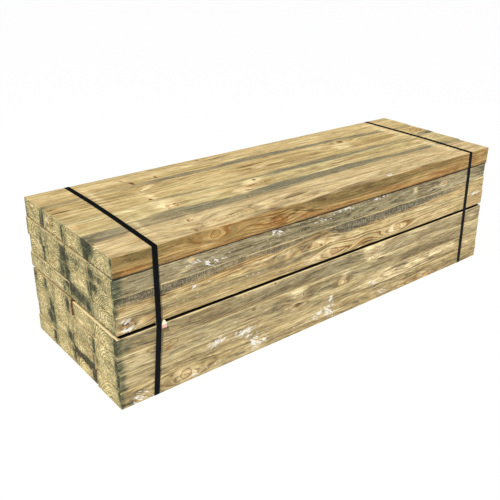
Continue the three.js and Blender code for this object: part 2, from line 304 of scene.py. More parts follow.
BANDS = [
    band_t("grey", 5, (0, 130, 165, 0.5), (110, 128, 160, 0.45), (200, 122, 140, 0.5), (400, 122, 140, 0.6), (480, 120, 150, 0.85),
           (600, 120, 152, 0.95), (720, 125, 152, 0.7), (800, 117, 150, 0.95), (960, 109, 146, 0.92), (1050, 112, 148, 0.95),
           (1150, 120, 150, 1.0), (1250, 124, 151, 1.0), (1400, 128, 156, 0.95), (1500, 136, 166, 1.0), (1600, 144, 173, 1.0),
           (1700, 150, 178, 0.9), (1760, 155, 178, 0.3), (1830, 165, 185, 0.5), (1920, 165, 185, 0.55)),
    band_t("grey", 5, (0, 306, 330, 0.4), (150, 308, 328, 0.3), (300, 308, 320, 0.2), (390, 302, 322, 0.55), (600, 302, 322, 0.45),
           (640, 306, 320, 0.2), (800, 312, 340, 0.4), (870, 316, 345, 0.7), (950, 308, 342, 1.0), (1050, 304, 346, 1.0),
           (1200, 308, 346, 1.0), (1400, 310, 341, 0.9), (1550, 314, 337, 0.85), (1700, 318, 336, 0.7), (1780, 320, 335, 0.3),
           (1835, 292, 326, 0.8), (1920, 290, 322, 0.9)),
    band_t("grey", 6, (0, 442, 512, 1.0), (120, 445, 510, 0.8), (160, 440, 500, 0.5), (220, 432, 500, 0.55), (300, 425, 500, 0.8),
           (400, 420, 495, 0.9), (500, 430, 492, 0.9), (600, 446, 492, 0.92), (660, 446, 490, 0.92), (700, 435, 489, 0.95),
           (800, 424, 494, 1.0), (900, 424, 486, 0.95), (1000, 425, 481, 1.0), (1200, 425, 476, 1.0), (1300, 432, 475, 0.95),
           (1400, 440, 474, 0.9), (1500, 448, 476, 0.9), (1600, 450, 479, 0.95), (1700, 453, 480, 1.0), (1760, 456, 481, 1.0),
           (1850, 460, 500, 0.6), (1920, 460, 500, 0.6)),
    band_f("strip", 1.5, (0, 138, 172, 0.85), (100, 138, 173, 0.95), (200, 138, 173, 0.95), (300, 138, 169, 0.9), (400, 139, 165, 0.85),
           (490, 140, 156, 0.8), (550, 141, 153, 0.75), (600, 140, 158, 0.8), (640, 140, 165, 0.85), (700, 140, 160, 0.85),
           (760, 140, 155, 0.8), (810, 140, 149, 0.7), (850, 139, 144, 0.3), (890, 139, 145, 0.5), (920, 139, 160, 0.9),
           (960, 139, 176, 1.0), (1010, 139, 182, 1.0), (1100, 139, 179, 1.0), (1300, 139, 175, 1.0), (1500, 139, 169, 0.95),
           (1650, 139, 164, 0.8), (1720, 140, 160, 0.35), (1760, 140, 160, 0.0)),
    band_f("umber", 4, (0, -3, 42, 0.95), (150, -3, 40, 0.85), (320, -3, 30, 0.5), (345, -3, 12, 0.0), (560, -3, 4, 0.2), (660, -3, 6, 0.9),
           (760, -3, 26, 1.0), (820, -3, 40, 1.0), (920, -3, 44, 1.0), (1080, -3, 50, 1.0), (1170, -3, 48, 1.0), (1280, -3, 40, 1.0),
           (1370, -3, 34, 0.95), (1450, -3, 30, 0.9), (1600, -3, 24, 0.9), (1750, -3, 16, 0.8), (1800, -3, 14, 0.5), (1900, -3, 14, 0.4)),
    band_f("grey", 5, (0, 76, 134, 0.65), (200, 76, 134, 0.45), (420, 76, 134, 0.6), (640, 76, 132, 0.8), (900, 78, 134, 0.95),
           (1150, 78, 132, 0.95), (1400, 78, 132, 0.75), (1500, 78, 130, 0.0), (1700, 78, 130, 0.0), (1800, 78, 128, 0.25)),
    band_f("grey", 4, (140, 208, 236, 0.6), (300, 207, 236, 0.8), (500, 207, 234, 0.8), (700, 207, 234, 0.85), (820, 207, 230, 0.8),
           (880, 207, 220, 0.3), (1000, 207, 215, 0.0), (1150, 208, 222, 0.35), (1230, 208, 220, 0.1), (1500, 208, 216, 0.3), (1740, 208, 220, 0.3)),
    band_f("grey", 6, (0, 286, 346, 0.85), (90, 286, 344, 0.7), (150, 288, 330, 0.3), (270, 288, 336, 0.5), (440, 288, 334, 0.6),
           (560, 298, 342, 0.5), (700, 300, 342, 0.8), (900, 296, 342, 0.9), (1080, 298, 342, 0.8), (1140, 320, 344, 0.2),
           (1240, 310, 344, 0.5), (1400, 300, 324, 0.3), (1700, 318, 334, 0.4)),
    band_f("grey", 6, (150, 350, 376, 0.2), (400, 352, 380, 0.5), (620, 352, 380, 0.4), (830, 350, 400, 0.4), (960, 352, 400, 0.4),
           (1080, 352, 404, 0.5), (1240, 356, 408, 0.5), (1500, 362, 410, 0.55), (1740, 366, 410, 0.5), (1860, 366, 400, 0.3)),
    band_f("grey", 7, (160, 418, 440, 0.15), (560, 424, 444, 0.3), (800, 416, 440, 0.5), (960, 452, 474, 0.7), (1060, 456, 476, 0.5),
           (1200, 470, 480, 0.3), (1740, 470, 480, 0.3)),
    band_f("grey", 8, (0, 482, 540, 0.3), (180, 524, 548, 0.2), (640, 500, 548, 0.25), (860, 484, 500, 0.3), (1100, 500, 530, 0.45),
           (1400, 484, 510, 0.4), (1740, 500, 540, 0.4)),
    ("B", "grey", 9, [(0, 560, 600, 0.5), (900, 565, 600, 0.7), (1200, 560, 575, 0.1), (2400, 560, 590, 0.6)]),
    ("B", "grey", 9, [(0, 330, 350, 0.2), (700, 300, 345, 0.1), (1100, 420, 470, 0.7), (2300, 425, 470, 0.8)]),
    ("B", "grey", 9, [(0, 120, 150, 0.2), (200, 150, 200, 0.6), (1400, 155, 205, 0.7), (1800, 160, 180, 0.1), (2400, 150, 190, 0.5)]),
]
GREEN = [   # dark green, where the treatment is strongest
    F(-26, 28, 62, 152, -0.05, 0, 0.9), F(-24, 14, 130, 230, 0.2, 0, 0.8), F(-26, 20, 276, 350, 0.15, 0, 0.9),
    F(-26, 16, 338, 420, 0.1, 0, 0.9), F(-26, 20, 400, 486, 0.0, 0, 0.9), F(-26, 16, 466, 570, 0.1, 0, 0.9),
    F(-80, 300, -12, 42, 0.80, 0, 0.8), F(10, 60, 520, 550, 0.35, 0, 0.3), F(-6, 70, 292, 346, 0.55), F(1850, 1905, 76, 132, 0.65), F(1850, 1905, 86, 98, 0.3), F(1856, 1905, 112, 124, 0.3),
    T(-30, 60, 440, 516, 0.85, 0, 0.6), T(-30, 40, 122, 170, 0.8), T(1830, 1950, 290, 326, 0.6), T(-30, 20, 306, 334, 0.8),
    T(1840, 1950, 462, 500, 0.75),
]
ORANGE = [   # warm orange brown
    F(-10, 135, 50, 72, -0.1), F(160, 600, 58, 74, 0.15), F(580, 720, 20, 74, 0.2), F(690, 900, 40, 70, 0.1, -9), F(560, 700, 4, 20, 0.5),
    F(840, 1180, 52, 72, 0.0), F(1150, 1420, 42, 66, 0.15), F(1440, 1730, 38, 64, 0.05), F(900, 1900, 60, 74, 0.2), F(1780, 1900, 30, 66, 0.3),
    F(60, 136, 232, 250, 0.2), F(780, 940, 168, 204, 0.35), F(880, 1000, 220, 262, 0.15), F(980, 1180, 236, 254, 0.25), F(1240, 1370, 212, 258, 0.3),
    F(1160, 1216, 292, 348, 0.40), F(980, 1030, 380, 414, 0.45), F(772, 806, 404, 414, 0.1), F(275, 300, 82, 98, 0.35), F(160, 210, 350, 410, 0.6),
    F(1840, 1905, 208, 262, 0.4), F(735, 800, 396, 440, 0.4), F(10, 60, 232, 256, 0.3), F(1500, 1740, 252, 268, 0.5),
    T(664, 770, 380, 402, -0.05, 14), T(345, 405, 360, 410, 0.1), T(-10, 60, 178, 192, 0.1), T(800, 965, 192, 210, 0.3), T(1390, 1446, 158, 190, -0.05, 36), T(350, 384, 50, 70, 0.0, -20), T(366, 388, 84, 126, 0.15, 0), T(724, 752, 8, 28, 0.1), T(1690, 1760, 352, 380, 0.15, 30), T(1850, 1906, 236, 266, 0.1, 22),
    T(620, 690, 580, 620, 0.4), T(300, 340, 600, 622, 0.35), T(540, 630, 240, 252, 0.4), T(730, 860, 34, 44, 0.25), T(340, 372, 48, 70, 0.3, -50),
    T(1690, 1780, 340, 410, 0.4, 40), T(1840, 1920, 215, 280, 0.35, 25), T(-10, 70, 340, 410, 0.5), T(1020, 1280, 376, 392, 0.45), T(1380, 1700, 250, 270, 0.6),
    T(60, 360, 60, 100, 0.6), T(1500, 1900, 60, 90, 0.6), T(960, 1330, 232, 250, 0.6), T(640, 780, 500, 560, 0.5, 14),
    ("B", 100, 1200, 596, 640, 0.4), ("B", 1300, 2300, 300, 320, 0.35),
]
PALE = [   # cream flares and lenses
    F(56, 116, 222, 266, 0.15, 0, 0.3), F(166, 330, 48, 68, 0.45, 0, 0.4),
    F(326, 396, 22, 56, -0.5, 30), F(160, 340, 10, 44, 0.6), F(1790, 1900, 4, 66, 0.35), F(200, 300, 104, 132, 0.2, 14), 
    F(0, 60, 214, 232, 0.0), F(5, 60, 250, 266, 0.0), F(420, 780, 166, 196, 0.35), F(800, 900, 164, 200, 0.1), F(870, 960, 214, 260, 0.15), F(1230, 1330, 212, 256, 0.25),
    F(1250, 1740, 174, 204, 0.35), F(1120, 1176, 282, 314, -0.5, -32), F(1192, 1246, 282, 308, -0.4, 30), F(1152, 1232, 320, 352, -0.6), F(1138, 1226, 288, 338, -0.45), F(1300, 1740, 286, 300, 0.3), F(1400, 1740, 334, 350, 0.35),
    F(20, 130, 352, 410, 0.3), F(728, 806, 354, 406, -0.5), F(978, 1030, 376, 414, 0.2), F(990, 1046, 352, 380, 0.1), F(770, 885, 222, 268, 0.0), F(1239, 1330, 220, 266, 0.0), F(1390, 1420, 78, 116, 0.0, 0, 0.9), F(1160, 1520, 420, 472, -0.5), F(1500, 1760, 416, 452, -0.3), F(1080, 1300, 418, 436, 0.3),
    F(195, 310, 488, 545, -0.15), F(440, 640, 500, 548, 0.5), F(860, 1010, 166, 208, 0.4), F(1480, 1600, 500, 548, 0.4), F(1500, 1740, 78, 100, 0.5),
    F(160, 520, 240, 264, 0.5), F(1560, 1620, 92, 122, 0.2), F(1790, 1900, 284, 340, 0.4), F(1790, 1900, 420, 470, 0.4),
    T(1716, 1774, -20, 330, 0.05, 0, 0.9), T(1706, 1764, 320, 660, 0.05, 0, 0.9), T(178, 220, -20, 330, 0.35, 0, 0.9), T(170, 212, 320, 660, 0.35, 0, 0.9), T(346, 458, 172, 188, -0.35, 28), T(330, 380, 196, 232, -0.1), T(345, 380, 236, 300, -0.05), T(1740, 1790, 300, 360, 0.3, 20), T(1800, 1870, 262, 300, 0.3, 20), T(640, 730, 24, 60, 0.5), T(760, 960, 84, 112, 0.3), T(220, 330, 60, 110, 0.6),
    T(830, 960, 216, 262, 0.45), T(1335, 1420, 196, 266, -0.45, 25), T(1180, 1330, 160, 240, 0.55), T(290, 420, 310, 416, 0.0), T(636, 700, 380, 432, -0.5, 30),
    T(700, 800, 336, 384, -0.35, 14), T(620, 668, 304, 322, 0.2), T(420, 640, 336, 420, 0.5), T(1030, 1310, 368, 384, 0.1), T(1690, 1760, 350, 400, 0.2, 30),
    T(270, 350, 570, 600, 0.2, -22), T(595, 680, 540, 606, -0.45, -20), T(345, 372, 508, 530, 0.0, 30), T(1372, 1388, 488, 634, 0.0, 0, 0.8), T(860, 1000, 500, 560, 0.6),
    T(1400, 1740, 520, 620, 0.55), T(20, 140, 180, 300, 0.5), T(180, 360, 500, 560, 0.6), T(1680, 1800, 160, 300, 0.5), T(-10, 130, 520, 630, 0.5), T(1000, 1320, 500, 560, 0.5),
    T(1000, 1740, 60, 106, 0.6), T(1100, 1160, 180, 230, 0.6),
    ("B", 380, 520, 590, 660, 0.2), ("B", 960, 1120, 180, 250, 0.25), ("B", 1460, 1600, 420, 490, 0.3),
]
SCUFFS = [   # white chalky rubs, frayed at their edges
    F(360, 412, 430, 447, -0.25, 8), F(330, 440, 418, 452, 0.35, 10), F(466, 548, 431, 448, -0.25, 2), F(454, 564, 423, 459, 0.35), F(508, 532, 452, 480, 0.3, -50),
    F(538, 572, 484, 524, -0.2, -12), F(574, 612, 486, 526, 0.4), F(320, 396, 517, 529, 0.7), F(852, 904, 482, 514, 0.25, 25), F(896, 970, 480, 530, 0.25, -38),
    F(936, 950, 434, 468, 0.0, -8), F(946, 966, 454, 477, 0.25), F(440, 486, 374, 394, 0.6, 20), F(268, 330, 96, 112, 0.3), F(296, 442, 102, 133, 0.55),
    F(622, 640, 76, 93, 0.1), F(636, 678, 78, 107, 0.45), F(833, 910, 92, 105, 0.3), F(948, 972, 77, 89, 0.1), F(940, 1042, 77, 87, 0.4), F(1126, 1182, 76, 87, 0.25),
    F(1193, 1232, 74, 84, 0.25), F(20, 62, 216, 238, 0.35), F(28, 74, 249, 270, 0.1), F(283, 312, 182, 194, 0.45), F(343, 380, 180, 194, 0.45), F(24, 134, 502, 547, 0.5),
    F(264, 302, 519, 543, 0.5), F(1166, 1214, 446, 475, 0.3, -35), F(1818, 1884, 197, 213, 0.1), F(984, 1048, 350, 382, 1.1), F(1290, 1476, 460, 483, 1.2),
    F(280, 1010, 488, 541, 1.3), F(1226, 1274, 510, 531, 0.3), F(640, 1300, 76, 104, 1.3), F(180, 360, 88, 130, 1.3), F(430, 620, 212, 228, 1.1), T(1226, 1252, 614, 634, 0.1), T(836, 960, 222, 264, 1.1),
]
EYES = [   # thin outlines of flat eyes in the grain
    F(268, 446, 289, 330), F(104, 224, 347, 377), F(612, 690, 22, 64), F(1236, 1660, 421, 468), F(1340, 1600, 502, 556), F(1164, 1214, 296, 350), F(1460, 1800, 414, 440),
]
MARKS = [   # short brown blotches and torn streaks
    F(700, 800, 17, 24, 0.1, -14), F(784, 856, 43, 49, 0.15, -9),
    T(343, 372, 54, 68, 0.1, -15), T(370, 388, 86, 128, 0.0), T(486, 495, 84, 106, 0.0), T(728, 750, 8, 26, 0.3), T(735, 850, 36, 42, 0.0),
    T(-5, 32, 181, 190, -0.1), T(-5, 82, 213, 222, -0.1), T(0, 62, 176, 184, 0.3), T(341, 354, 287, 299, -0.2), T(350, 366, 198, 216, 0.2), T(556, 622, 243, 250, 0.0),
    T(806, 968, 195, 202, -0.1), T(820, 900, 204, 209, 0.1), T(960, 1330, 235, 240, 0.35), T(676, 764, 388, 398, 0.2, 10), T(796, 808, 380, 392, 0.2), T(674, 714, 417, 430, 0.1),
    T(348, 364, 383, 392, 0.1), T(380, 398, 375, 384, 0.1), T(384, 402, 392, 403, 0.1), T(348, 360, 400, 409, 0.1), T(400, 640, 383, 389, 0.35), T(1024, 1104, 378, 392, 0.3),
    T(1128, 1242, 388, 394, 0.1), T(1400, 1474, 384, 396, 0.4), T(1608, 1664, 390, 400, 0.35), T(1402, 1440, 162, 186, -0.1, 40), T(1878, 1906, 254, 268, 0.0), T(1838, 1870, 262, 270, 0.1),
    T(476, 506, 569, 579, 0.0), T(508, 562, 556, 566, 0.3), T(714, 852, 566, 576, 0.15), T(308, 328, 602, 628, 0.2), T(-6, 12, 512, 524, 0.0), T(634, 648, 468, 480, 0.0),
    T(626, 670, 590, 597, 0.3), T(340, 362, 520, 526, 0.1), T(338, 346, 524, 544, 0.1), T(560, 640, 540, 552, 0.4, 20), T(1690, 1760, 396, 402, 0.3), T(1330, 1400, 172, 178, 0.4),
    # the row below draws a broken brown line along the top's front edge
    T(500, 765, 625, 640, 0.35), T(798, 922, 627, 640, 0.2), T(1000, 1200, 627, 640, 0.2), T(1300, 1660, 625, 640, 0.35), T(20, 130, 625, 640, 0.5), T(150, 440, 628, 640, 0.5),
    T(70, 150, 40, 46, 0.3), T(1500, 1640, 40, 48, 0.4), T(1790, 1900, 30, 40, 0.4), T(440, 620, 44, 50, 0.4), T(1030, 1180, 52, 58, 0.5), T(380, 470, 256, 264, 0.3),
    # the first two on the row below draw the same broken brown line on the front, just below its top edge
    F(592, 704, -4, 7, 0.2), F(830, 1300, -4, 5, 0.3), F(640, 702, 12, 17, 0.2), F(700, 764, 16, 30, 0.2, -16), F(756, 850, 32, 56, 0.3, -14), F(640, 690, 20, 26, 0.2), F(612, 640, 26, 34, 0.3, 20),
    F(640, 700, 58, 64, 0.3), F(910, 950, 142, 154, 0.1, -20), F(930, 1000, 150, 178, 0.4, -24), F(1034, 1050, 126, 136, 0.2), F(954, 964, 74, 82, 0.1), F(738, 800, 412, 430, 0.1),
    F(1196, 1250, 350, 360, 0.1), F(1150, 1196, 344, 352, 0.2), F(20, 50, 232, 242, 0.2), F(60, 76, 238, 258, 0.4, 30), F(30, 70, 250, 258, 0.4), F(150, 190, 172, 186, 0.4), F(501, 511, 289, 297, -0.3),
    F(645, 655, 286, 294, -0.3), F(789, 796, 370, 392, 0.25, 0), F(740, 824, 411, 421, 0.05, -4), F(536, 560, 356, 370, 0.1), F(480, 500, 376, 384, 0.3), F(990, 1020, 408, 420, 0.3, 20), F(1016, 1044, 388, 396, 0.3), F(1000, 1030, 352, 362, 0.3),
    F(160, 700, 410, 415, 0.35), F(980, 1700, 476, 481, 0.1), F(1080, 1240, 478, 483, 0.0), F(1440, 1560, 496, 503, 0.3, 8), F(1560, 1650, 505, 540, 0.5, -24), F(880, 1040, 232, 238, 0.2, -10),
    F(960, 1050, 244, 252, 0.1, 8), F(1060, 1180, 250, 256, 0.2), F(1320, 1420, 222, 228, 0.2, -8), F(1300, 1360, 246, 252, 0.1, -10), F(1230, 1300, 236, 242, 0.3, 12),
    F(1390, 1420, 210, 215, 0.2), F(1830, 1905, 344, 349, 0.0), F(1840, 1900, 104, 110, 0.3), F(1820, 1880, 236, 246, 0.3), F(400, 560, 236, 241, 0.5), F(180, 420, 262, 267, 0.4),
]
# Cracks and checks: (face, x from, across from, x to, across to, half width), the face's own mm.
def line_f(x0, v0, x1, v1, half):
    return ("F", 1.25 * x0, 682 - 1.25 * v0, 1.25 * x1, 682 - 1.25 * v1, half)


def line_t(x0, v0, x1, v1, half):
    return ("T", 1.25 * x0, 796 - 1.25 * v0, 1.25 * x1, 796 - 1.25 * v1, half)


CRACKS = [
    line_f(35, 6, 74, 5, 1.2), line_f(690, 30, 760, 40, 1.8), line_f(700, 20, 900, 60, 1.4), line_f(1000, 478, 1690, 477, 1.4),
    line_f(880, 466, 1040, 458, 1.2), line_f(738, 412, 800, 420, 2.0), line_f(1180, 352, 1250, 357, 1.6), line_f(800, 392, 1000, 372, 0.9),
    line_f(1840, 346, 1900, 345, 1.4), line_f(1240, 214, 1360, 212, 0.9),
    line_t(0, 183, 50, 180, 1.7), line_t(0, 223, 78, 216, 2.0), line_t(352, 62, 384, 124, 2.6), line_t(488, 573, 546, 566, 1.6),
    line_t(546, 566, 660, 540, 0.9), line_t(720, 572, 850, 566, 1.5), line_t(800, 204, 968, 200, 1.4), line_t(1850, 262, 1900, 240, 1.8),
    line_t(560, 246, 620, 244, 1.2), line_t(1030, 386, 1240, 388, 1.1), line_t(740, 40, 850, 38, 1.1), line_t(1690, 400, 1760, 398, 1.0),
    ("N", 138, 400, 122, 378, 1.6), ("N", 506, 672, 520, 610, 2.4), ("N", 114, 426, 76, 424, 2.2), ("N", 56, 390, 14, 366, 1.5),
]
# The near end: dark green stains, then brown black, orange brown, and pale.
END_STAINS = [
    N(664, 762, -10, 60, -0.3, 0, 0.5), N(668, 725, 40, 112, -0.1, 0, 0.4), N(408, 466, 128, 216, -0.1, 0, 0.8), N(466, 520, 130, 210, 0.5),
    N(704, 786, 114, 214, 0.35, 0, 0.3), N(704, 784, 202, 250, -0.1, 0, 0.3), N(700, 740, 236, 296, -0.1), N(430, 506, 212, 326, 0.15, 0, 0.6),
    N(372, 440, 216, 326, 0.25, 0, 0.3), N(436, 712, 312, 398, 0.35, 0, 0.9), N(444, 560, 312, 350, -0.3), N(640, 712, 330, 398, 0.1),
    N(398, 442, 412, 526, 0.25, 0, 0.8), N(394, 440, 330, 412, 0.5), N(184, 212, 526, 620, -0.05), N(136, 212, 612, 700, 0.1, -25), N(204, 236, 540, 720, 0.12),
    N(390, 446, 624, 706, 0.15, -15), N(196, 246, 700, 818, 0.1), N(182, 204, 0, 130, 0.3), N(196, 240, -10, 130, 0.25), N(428, 456, 10, 120, 0.2), N(456, 480, 40, 120, 0.5),
    N(158, 200, 136, 346, 0.25), N(700, 728, 540, 622, -0.15), N(700, 716, 620, 700, 0.4), N(438, 474, 706, 818, 0.4), N(240, 420, 300, 330, 0.8), N(0, 190, 300, 350, 0.75),
    N(120, 190, 395, 520, 0.55), N(0, 60, 400, 520, 0.6), N(0, 12, 0, 345, 0.5), N(940, 966, 100, 210, 0.3), N(938, 966, 220, 400, 0.55), N(690, 706, 600, 700, 0.6),
    N(916, 966, 404, 530, 0.0, 0, 0.4), N(922, 966, 530, 620, 0.1, 0, 0.4), N(926, 966, 620, 700, -0.15, 0, 0.4), N(928, 966, 700, 780, 0.15, 0, 0.4), N(930, 966, 10, 50, 0.3),
    N(800, 900, 205, 300, 0.95), N(466, 700, 128, 212, 0.95), N(740, 920, 125, 205, 0.9),
    ("E", 560, 640, 0, 690, 0.3), ("E", 370, 430, 0, 690, 0.4), ("E", 170, 230, 0, 690, 0.3), ("E", -14, 14, 0, 690, 0.4),
]
END_DARK_STAIN_SHADE = [   # brown black: beside the open joints between columns 2 and 3 it is painted shade; along the top and right of the bottom tier's third column it is partly dark stain, partly painted shade
    N(446, 712, 684, 748, -0.1, 0, 0.9), N(640, 712, 730, 830, 0.1, 0, 0.5), N(446, 468, 134, 214, 0.2), N(600, 660, 730, 765, 0.1), N(448, 470, 618, 700, 0.0),
]
END_ORANGE = [
    N(288, 332, 10, 112, 0.15), N(250, 352, 232, 312, 0.45), N(352, 372, 752, 790, 0.2), N(640, 702, 640, 684, 0.35), N(478, 532, 406, 452, 0.4), N(690, 706, 128, 212, 0.0),
    N(800, 868, 296, 320, 0.4), N(140, 196, 402, 450, 0.4), N(44, 104, 6, 64, 0.4), N(230, 262, 336, 404, 0.5), N(810, 840, 160, 190, 0.45), N(130, 160, 560, 590, 0.4), N(40, 90, 480, 500, 0.5),
]
END_PALE = [
    N(10, 180, 140, 340, 0.5), N(222, 300, 5, 90, 0.35), N(500, 700, 225, 312, 0.15), N(470, 650, 20, 112, 0.4), N(250, 420, 325, 408, 0.15), N(740, 940, 320, 400, 0.3),
    N(470, 640, 610, 700, 0.25), N(20, 170, 530, 690, 0.3), N(230, 400, 430, 610, 0.35), N(720, 920, 700, 818, 0.2), N(240, 430, 730, 818, 0.45), N(20, 180, 715, 818, 0.35),
    N(500, 640, 770, 818, 0.1), N(480, 690, 405, 600, 0.5), N(740, 900, 420, 620, 0.4), N(240, 400, 620, 690, 0.3), N(770, 900, 10, 110, 0.4), N(640, 700, 440, 500, 0.5),
]


def tab(items, box):
    return [turned(f) for f in items if touches(f, box)]


# ----------------------------------------------------------------- materials
CREAM, GOLD, KHAKI = lin(226, 203, 150), lin(205, 174, 116), lin(184, 162, 112)
OLIVE, GREYGREEN = lin(140, 128, 92), lin(130, 119, 86)
UMBER, TOPGREY = lin(155, 143, 102), lin(114, 112, 95)
ORANGEBROWN, BROWN, BLACKBROWN = lin(190, 128, 62), lin(112, 70, 36), lin(40, 34, 28)


def nearest(g, P, spots, start=9.0):
    q = start
    for middle, a, b, c, box, bias in spots:
        n = g.new("ShaderNodeGroup", node_tree=SPOT)
        for k, v in (("P", P), ("O", middle), ("A", a), ("B", b), ("C", c), ("Box", box), ("Bias", bias), ("Q", q)):
            g.put(n.inputs[k], v)
        q = n.outputs["Q"]
    return q


def wood(name, box, p):
    """The timber of one sleeper. box is its box in layout mm, p its own numbers."""
    mat = bpy.data.materials.new(name)
    mat.use_nodes = True
    nt = mat.node_tree
    nt.nodes.clear()
    g = Nodes(nt)
    out = g.new("ShaderNodeOutputMaterial")
    bsdf = g.new("ShaderNodeBsdfPrincipled")
    nt.links.new(bsdf.outputs[0], out.inputs["Surface"])
    bsdf.inputs["Specular IOR Level"].default_value = 0.25
    (x0, y0, z0), (x1, y1, z1) = box
    centre = place((x0 + x1) / 2, (y0 + y1) / 2, (z0 + z1) / 2)
    P = g.new("ShaderNodeTexCoord").outputs["Object"]
    N = g.xyz(g.new("ShaderNodeNewGeometry").outputs["True Normal"])
    end = g.m("GREATER_THAN", g.m("ABSOLUTE", N[0]), 0.7)
    L = g.v("SUBTRACT", P, centre)
    Q = g.v("ADD", L, p["seed"])
    # slow and quick wander of the grain
    slow = g.v("SUBTRACT", g.noise(g.v("MULTIPLY", Q, (1.1, 6.5, 6.5)), 2.0, 0.5, True), (0.5, 0.5, 0.5))
    quick = g.v("SUBTRACT", g.noise(g.v("MULTIPLY", Q, (6.0, 38.0, 38.0)), 3.0, 0.55, True), (0.5, 0.5, 0.5))
    Pw = g.v("ADD", P, g.v("MULTIPLY", quick, (0.020, 0.005, 0.005)))

    # knots bend the grain
    bent, rise, qs = L, 0.0, {}
    for kind, items in (("live", KNOTS), ("ring", RING_KNOTS), ("dark", DARK_KNOTS), ("whorl", WHORLS)):
        for f in items:
            if not touches(f, box):
                continue
            c, u, _ = spot_of(f)
            flat = {"F": (1, 0, 1), "B": (1, 0, 1), "T": (1, 1, 0), "N": (0, 1, 1), "E": (0, 1, 1)}[f[0]]
            n = g.new("ShaderNodeGroup", node_tree=KNOT)
            g.put(n.inputs["P"], Pw)
            g.put(n.inputs["C"], c)
            g.put(n.inputs["U"], tuple(a * b for a, b in zip(u, flat)))
            bend = 0.85 if kind != "whorl" else 0.30
            g.put(n.inputs["K"], (0.0, bend * flat[1], bend * flat[2]))
            g.put(n.inputs["Q"], qs.get(kind, 9.0))
            g.put(n.inputs["Bent"], bent)
            g.put(n.inputs["H"], (f[-1] if kind == "whorl" else 4.0) / 1000.0)
            g.put(n.inputs["Rise"], rise)
            bent, rise, qs[kind] = n.outputs["Bent"], n.outputs["Rise"], n.outputs["Q"]

    # growth rings round a pith that runs nearly along the sleeper
    B = g.xyz(g.v("ADD", bent, g.v("MULTIPLY", slow, (0.0, p["wander"], p["wander"]))))
    py, pz = p["pith"]
    ty, tz = p["tilt"]
    ry = g.m("SUBTRACT", B[1], g.m("MULTIPLY_ADD", B[0], ty, py))
    rz = g.m("SUBTRACT", B[2], g.m("MULTIPLY_ADD", B[0], tz, pz))
    r = g.m("SQRT", g.m("ADD", g.m("MULTIPLY", ry, ry), g.m("MULTIPLY", rz, rz)))
    quickx = g.xyz(quick)
    r = g.m("MULTIPLY_ADD", quickx[1], 0.0040, g.m("ADD", r, rise))
    width = g.noise(g.join(g.m("MULTIPLY", r, 55.0), p["seed"][0], p["seed"][1]), 1.0, 0.5)
    phase = g.m("ADD", g.m("DIVIDE", r, p["ring"]), g.m("MULTIPLY", width, 1.7))
    part = g.m("FRACT", phase)
    late = g.m("SUBTRACT", g.step(part, 0.30, 0.86), g.step(part, 0.88, 1.0))
    fine = g.m("FRACT", g.m("MULTIPLY", phase, 3.3))
    fine = g.m("SUBTRACT", g.step(fine, 0.2, 0.8), g.step(fine, 0.82, 1.0))
    which = g.noise(g.join(g.m("FLOOR", phase), p["seed"][2], 0.3), 0.0)

    # streaks along the grain, bent with it round the knots
    G = g.v("ADD", g.v("ADD", bent, p["seed"]), g.v("ADD", g.v("MULTIPLY", slow, (0, 0.03, 0.03)), g.v("MULTIPLY", g.join(0.0, rise, rise), (0, 0.8, 0.8))))
    broad = g.noise(g.v("MULTIPLY", G, (0.7, 17.0, 17.0)), 3.0, 0.6)
    streak = g.noise(g.v("MULTIPLY", G, (2.0, 80.0, 80.0)), 3.0, 0.62)
    fibre = g.noise(g.v("MULTIPLY", Q, (22.0, 420.0, 420.0)), 2.0, 0.6)
    mottle = g.noise(g.v("MULTIPLY", Q, (9.0, 26.0, 26.0)), 4.0, 0.6)
    grit = g.noise(g.v("MULTIPLY", g.v("ADD", G, g.v("MULTIPLY", quick, (0.0, 0.01, 0.01))), (16.0, 165.0, 165.0)), 3.0, 0.65)
    coarse = g.noise(g.v("MULTIPLY", g.v("ADD", G, g.v("MULTIPLY", quick, (0.0, 0.02, 0.02))), (4.5, 64.0, 64.0)), 3.0, 0.62)
    drawn = g.noise(g.join(g.m("MULTIPLY", B[0], 1.8), g.m("MULTIPLY", r, 210.0), p["seed"][1]), 3.0, 0.6)

    # long faces
    c = g.mix(g.step(broad, 0.34, 0.66), p["light"], p["mid"])
    c = g.mix(g.m("MULTIPLY", g.step(streak, 0.48, 0.72), p["streaks"]), c, p["dark"])
    strong = g.m("MULTIPLY", g.step(which, 0.25, 0.65, 0.45, 1.0), p["contrast"])
    if "whorl" in qs:
        strong = g.m("MULTIPLY", strong, g.step(qs["whorl"], 0.4, 2.6, 2.4, 1.0))
    if p["calm"]:
        strong = g.m("MULTIPLY", strong, g.m("SUBTRACT", 1.0, g.m("MULTIPLY", g.m("GREATER_THAN", N[2], 0.5), p["calm"])))
    ringdark = g.m("MULTIPLY", late, strong, clamp=True)
    c = g.mix(ringdark, c, p["late"])
    c = g.mix(g.m("MULTIPLY", fine, p["contrast"] * 0.4), c, p["late"])
    s1 = g.m("SUBTRACT", g.step(grit, 0.28, 0.72), 0.5)
    s2 = g.m("SUBTRACT", g.step(coarse, 0.30, 0.70), 0.5)
    s3 = g.m("SUBTRACT", g.step(mottle, 0.28, 0.72), 0.5)
    s4 = g.m("SUBTRACT", g.step(fibre, 0.28, 0.72), 0.5)
    s5 = g.m("SUBTRACT", g.step(drawn, 0.30, 0.70), 0.5)
    tone = g.m("MULTIPLY_ADD", s1, p["grit"] * 0.50, 1.02)
    tone = g.m("MULTIPLY_ADD", s2, p["grit"] * 0.40, tone)
    tone = g.m("MULTIPLY_ADD", s3, 0.16, tone)
    tone = g.m("MULTIPLY_ADD", s4, 0.18, tone)
    tone = g.m("MULTIPLY_ADD", s5, p["lines"], tone)
    tone = g.m("MAXIMUM", tone, 0.25)
    # soft dark stains and light flares
    edge = g.m("MULTIPLY_ADD", g.m("SUBTRACT", streak, 0.5), 1.7, g.m("MULTIPLY", g.m("SUBTRACT", mottle, 0.5), 0.7))

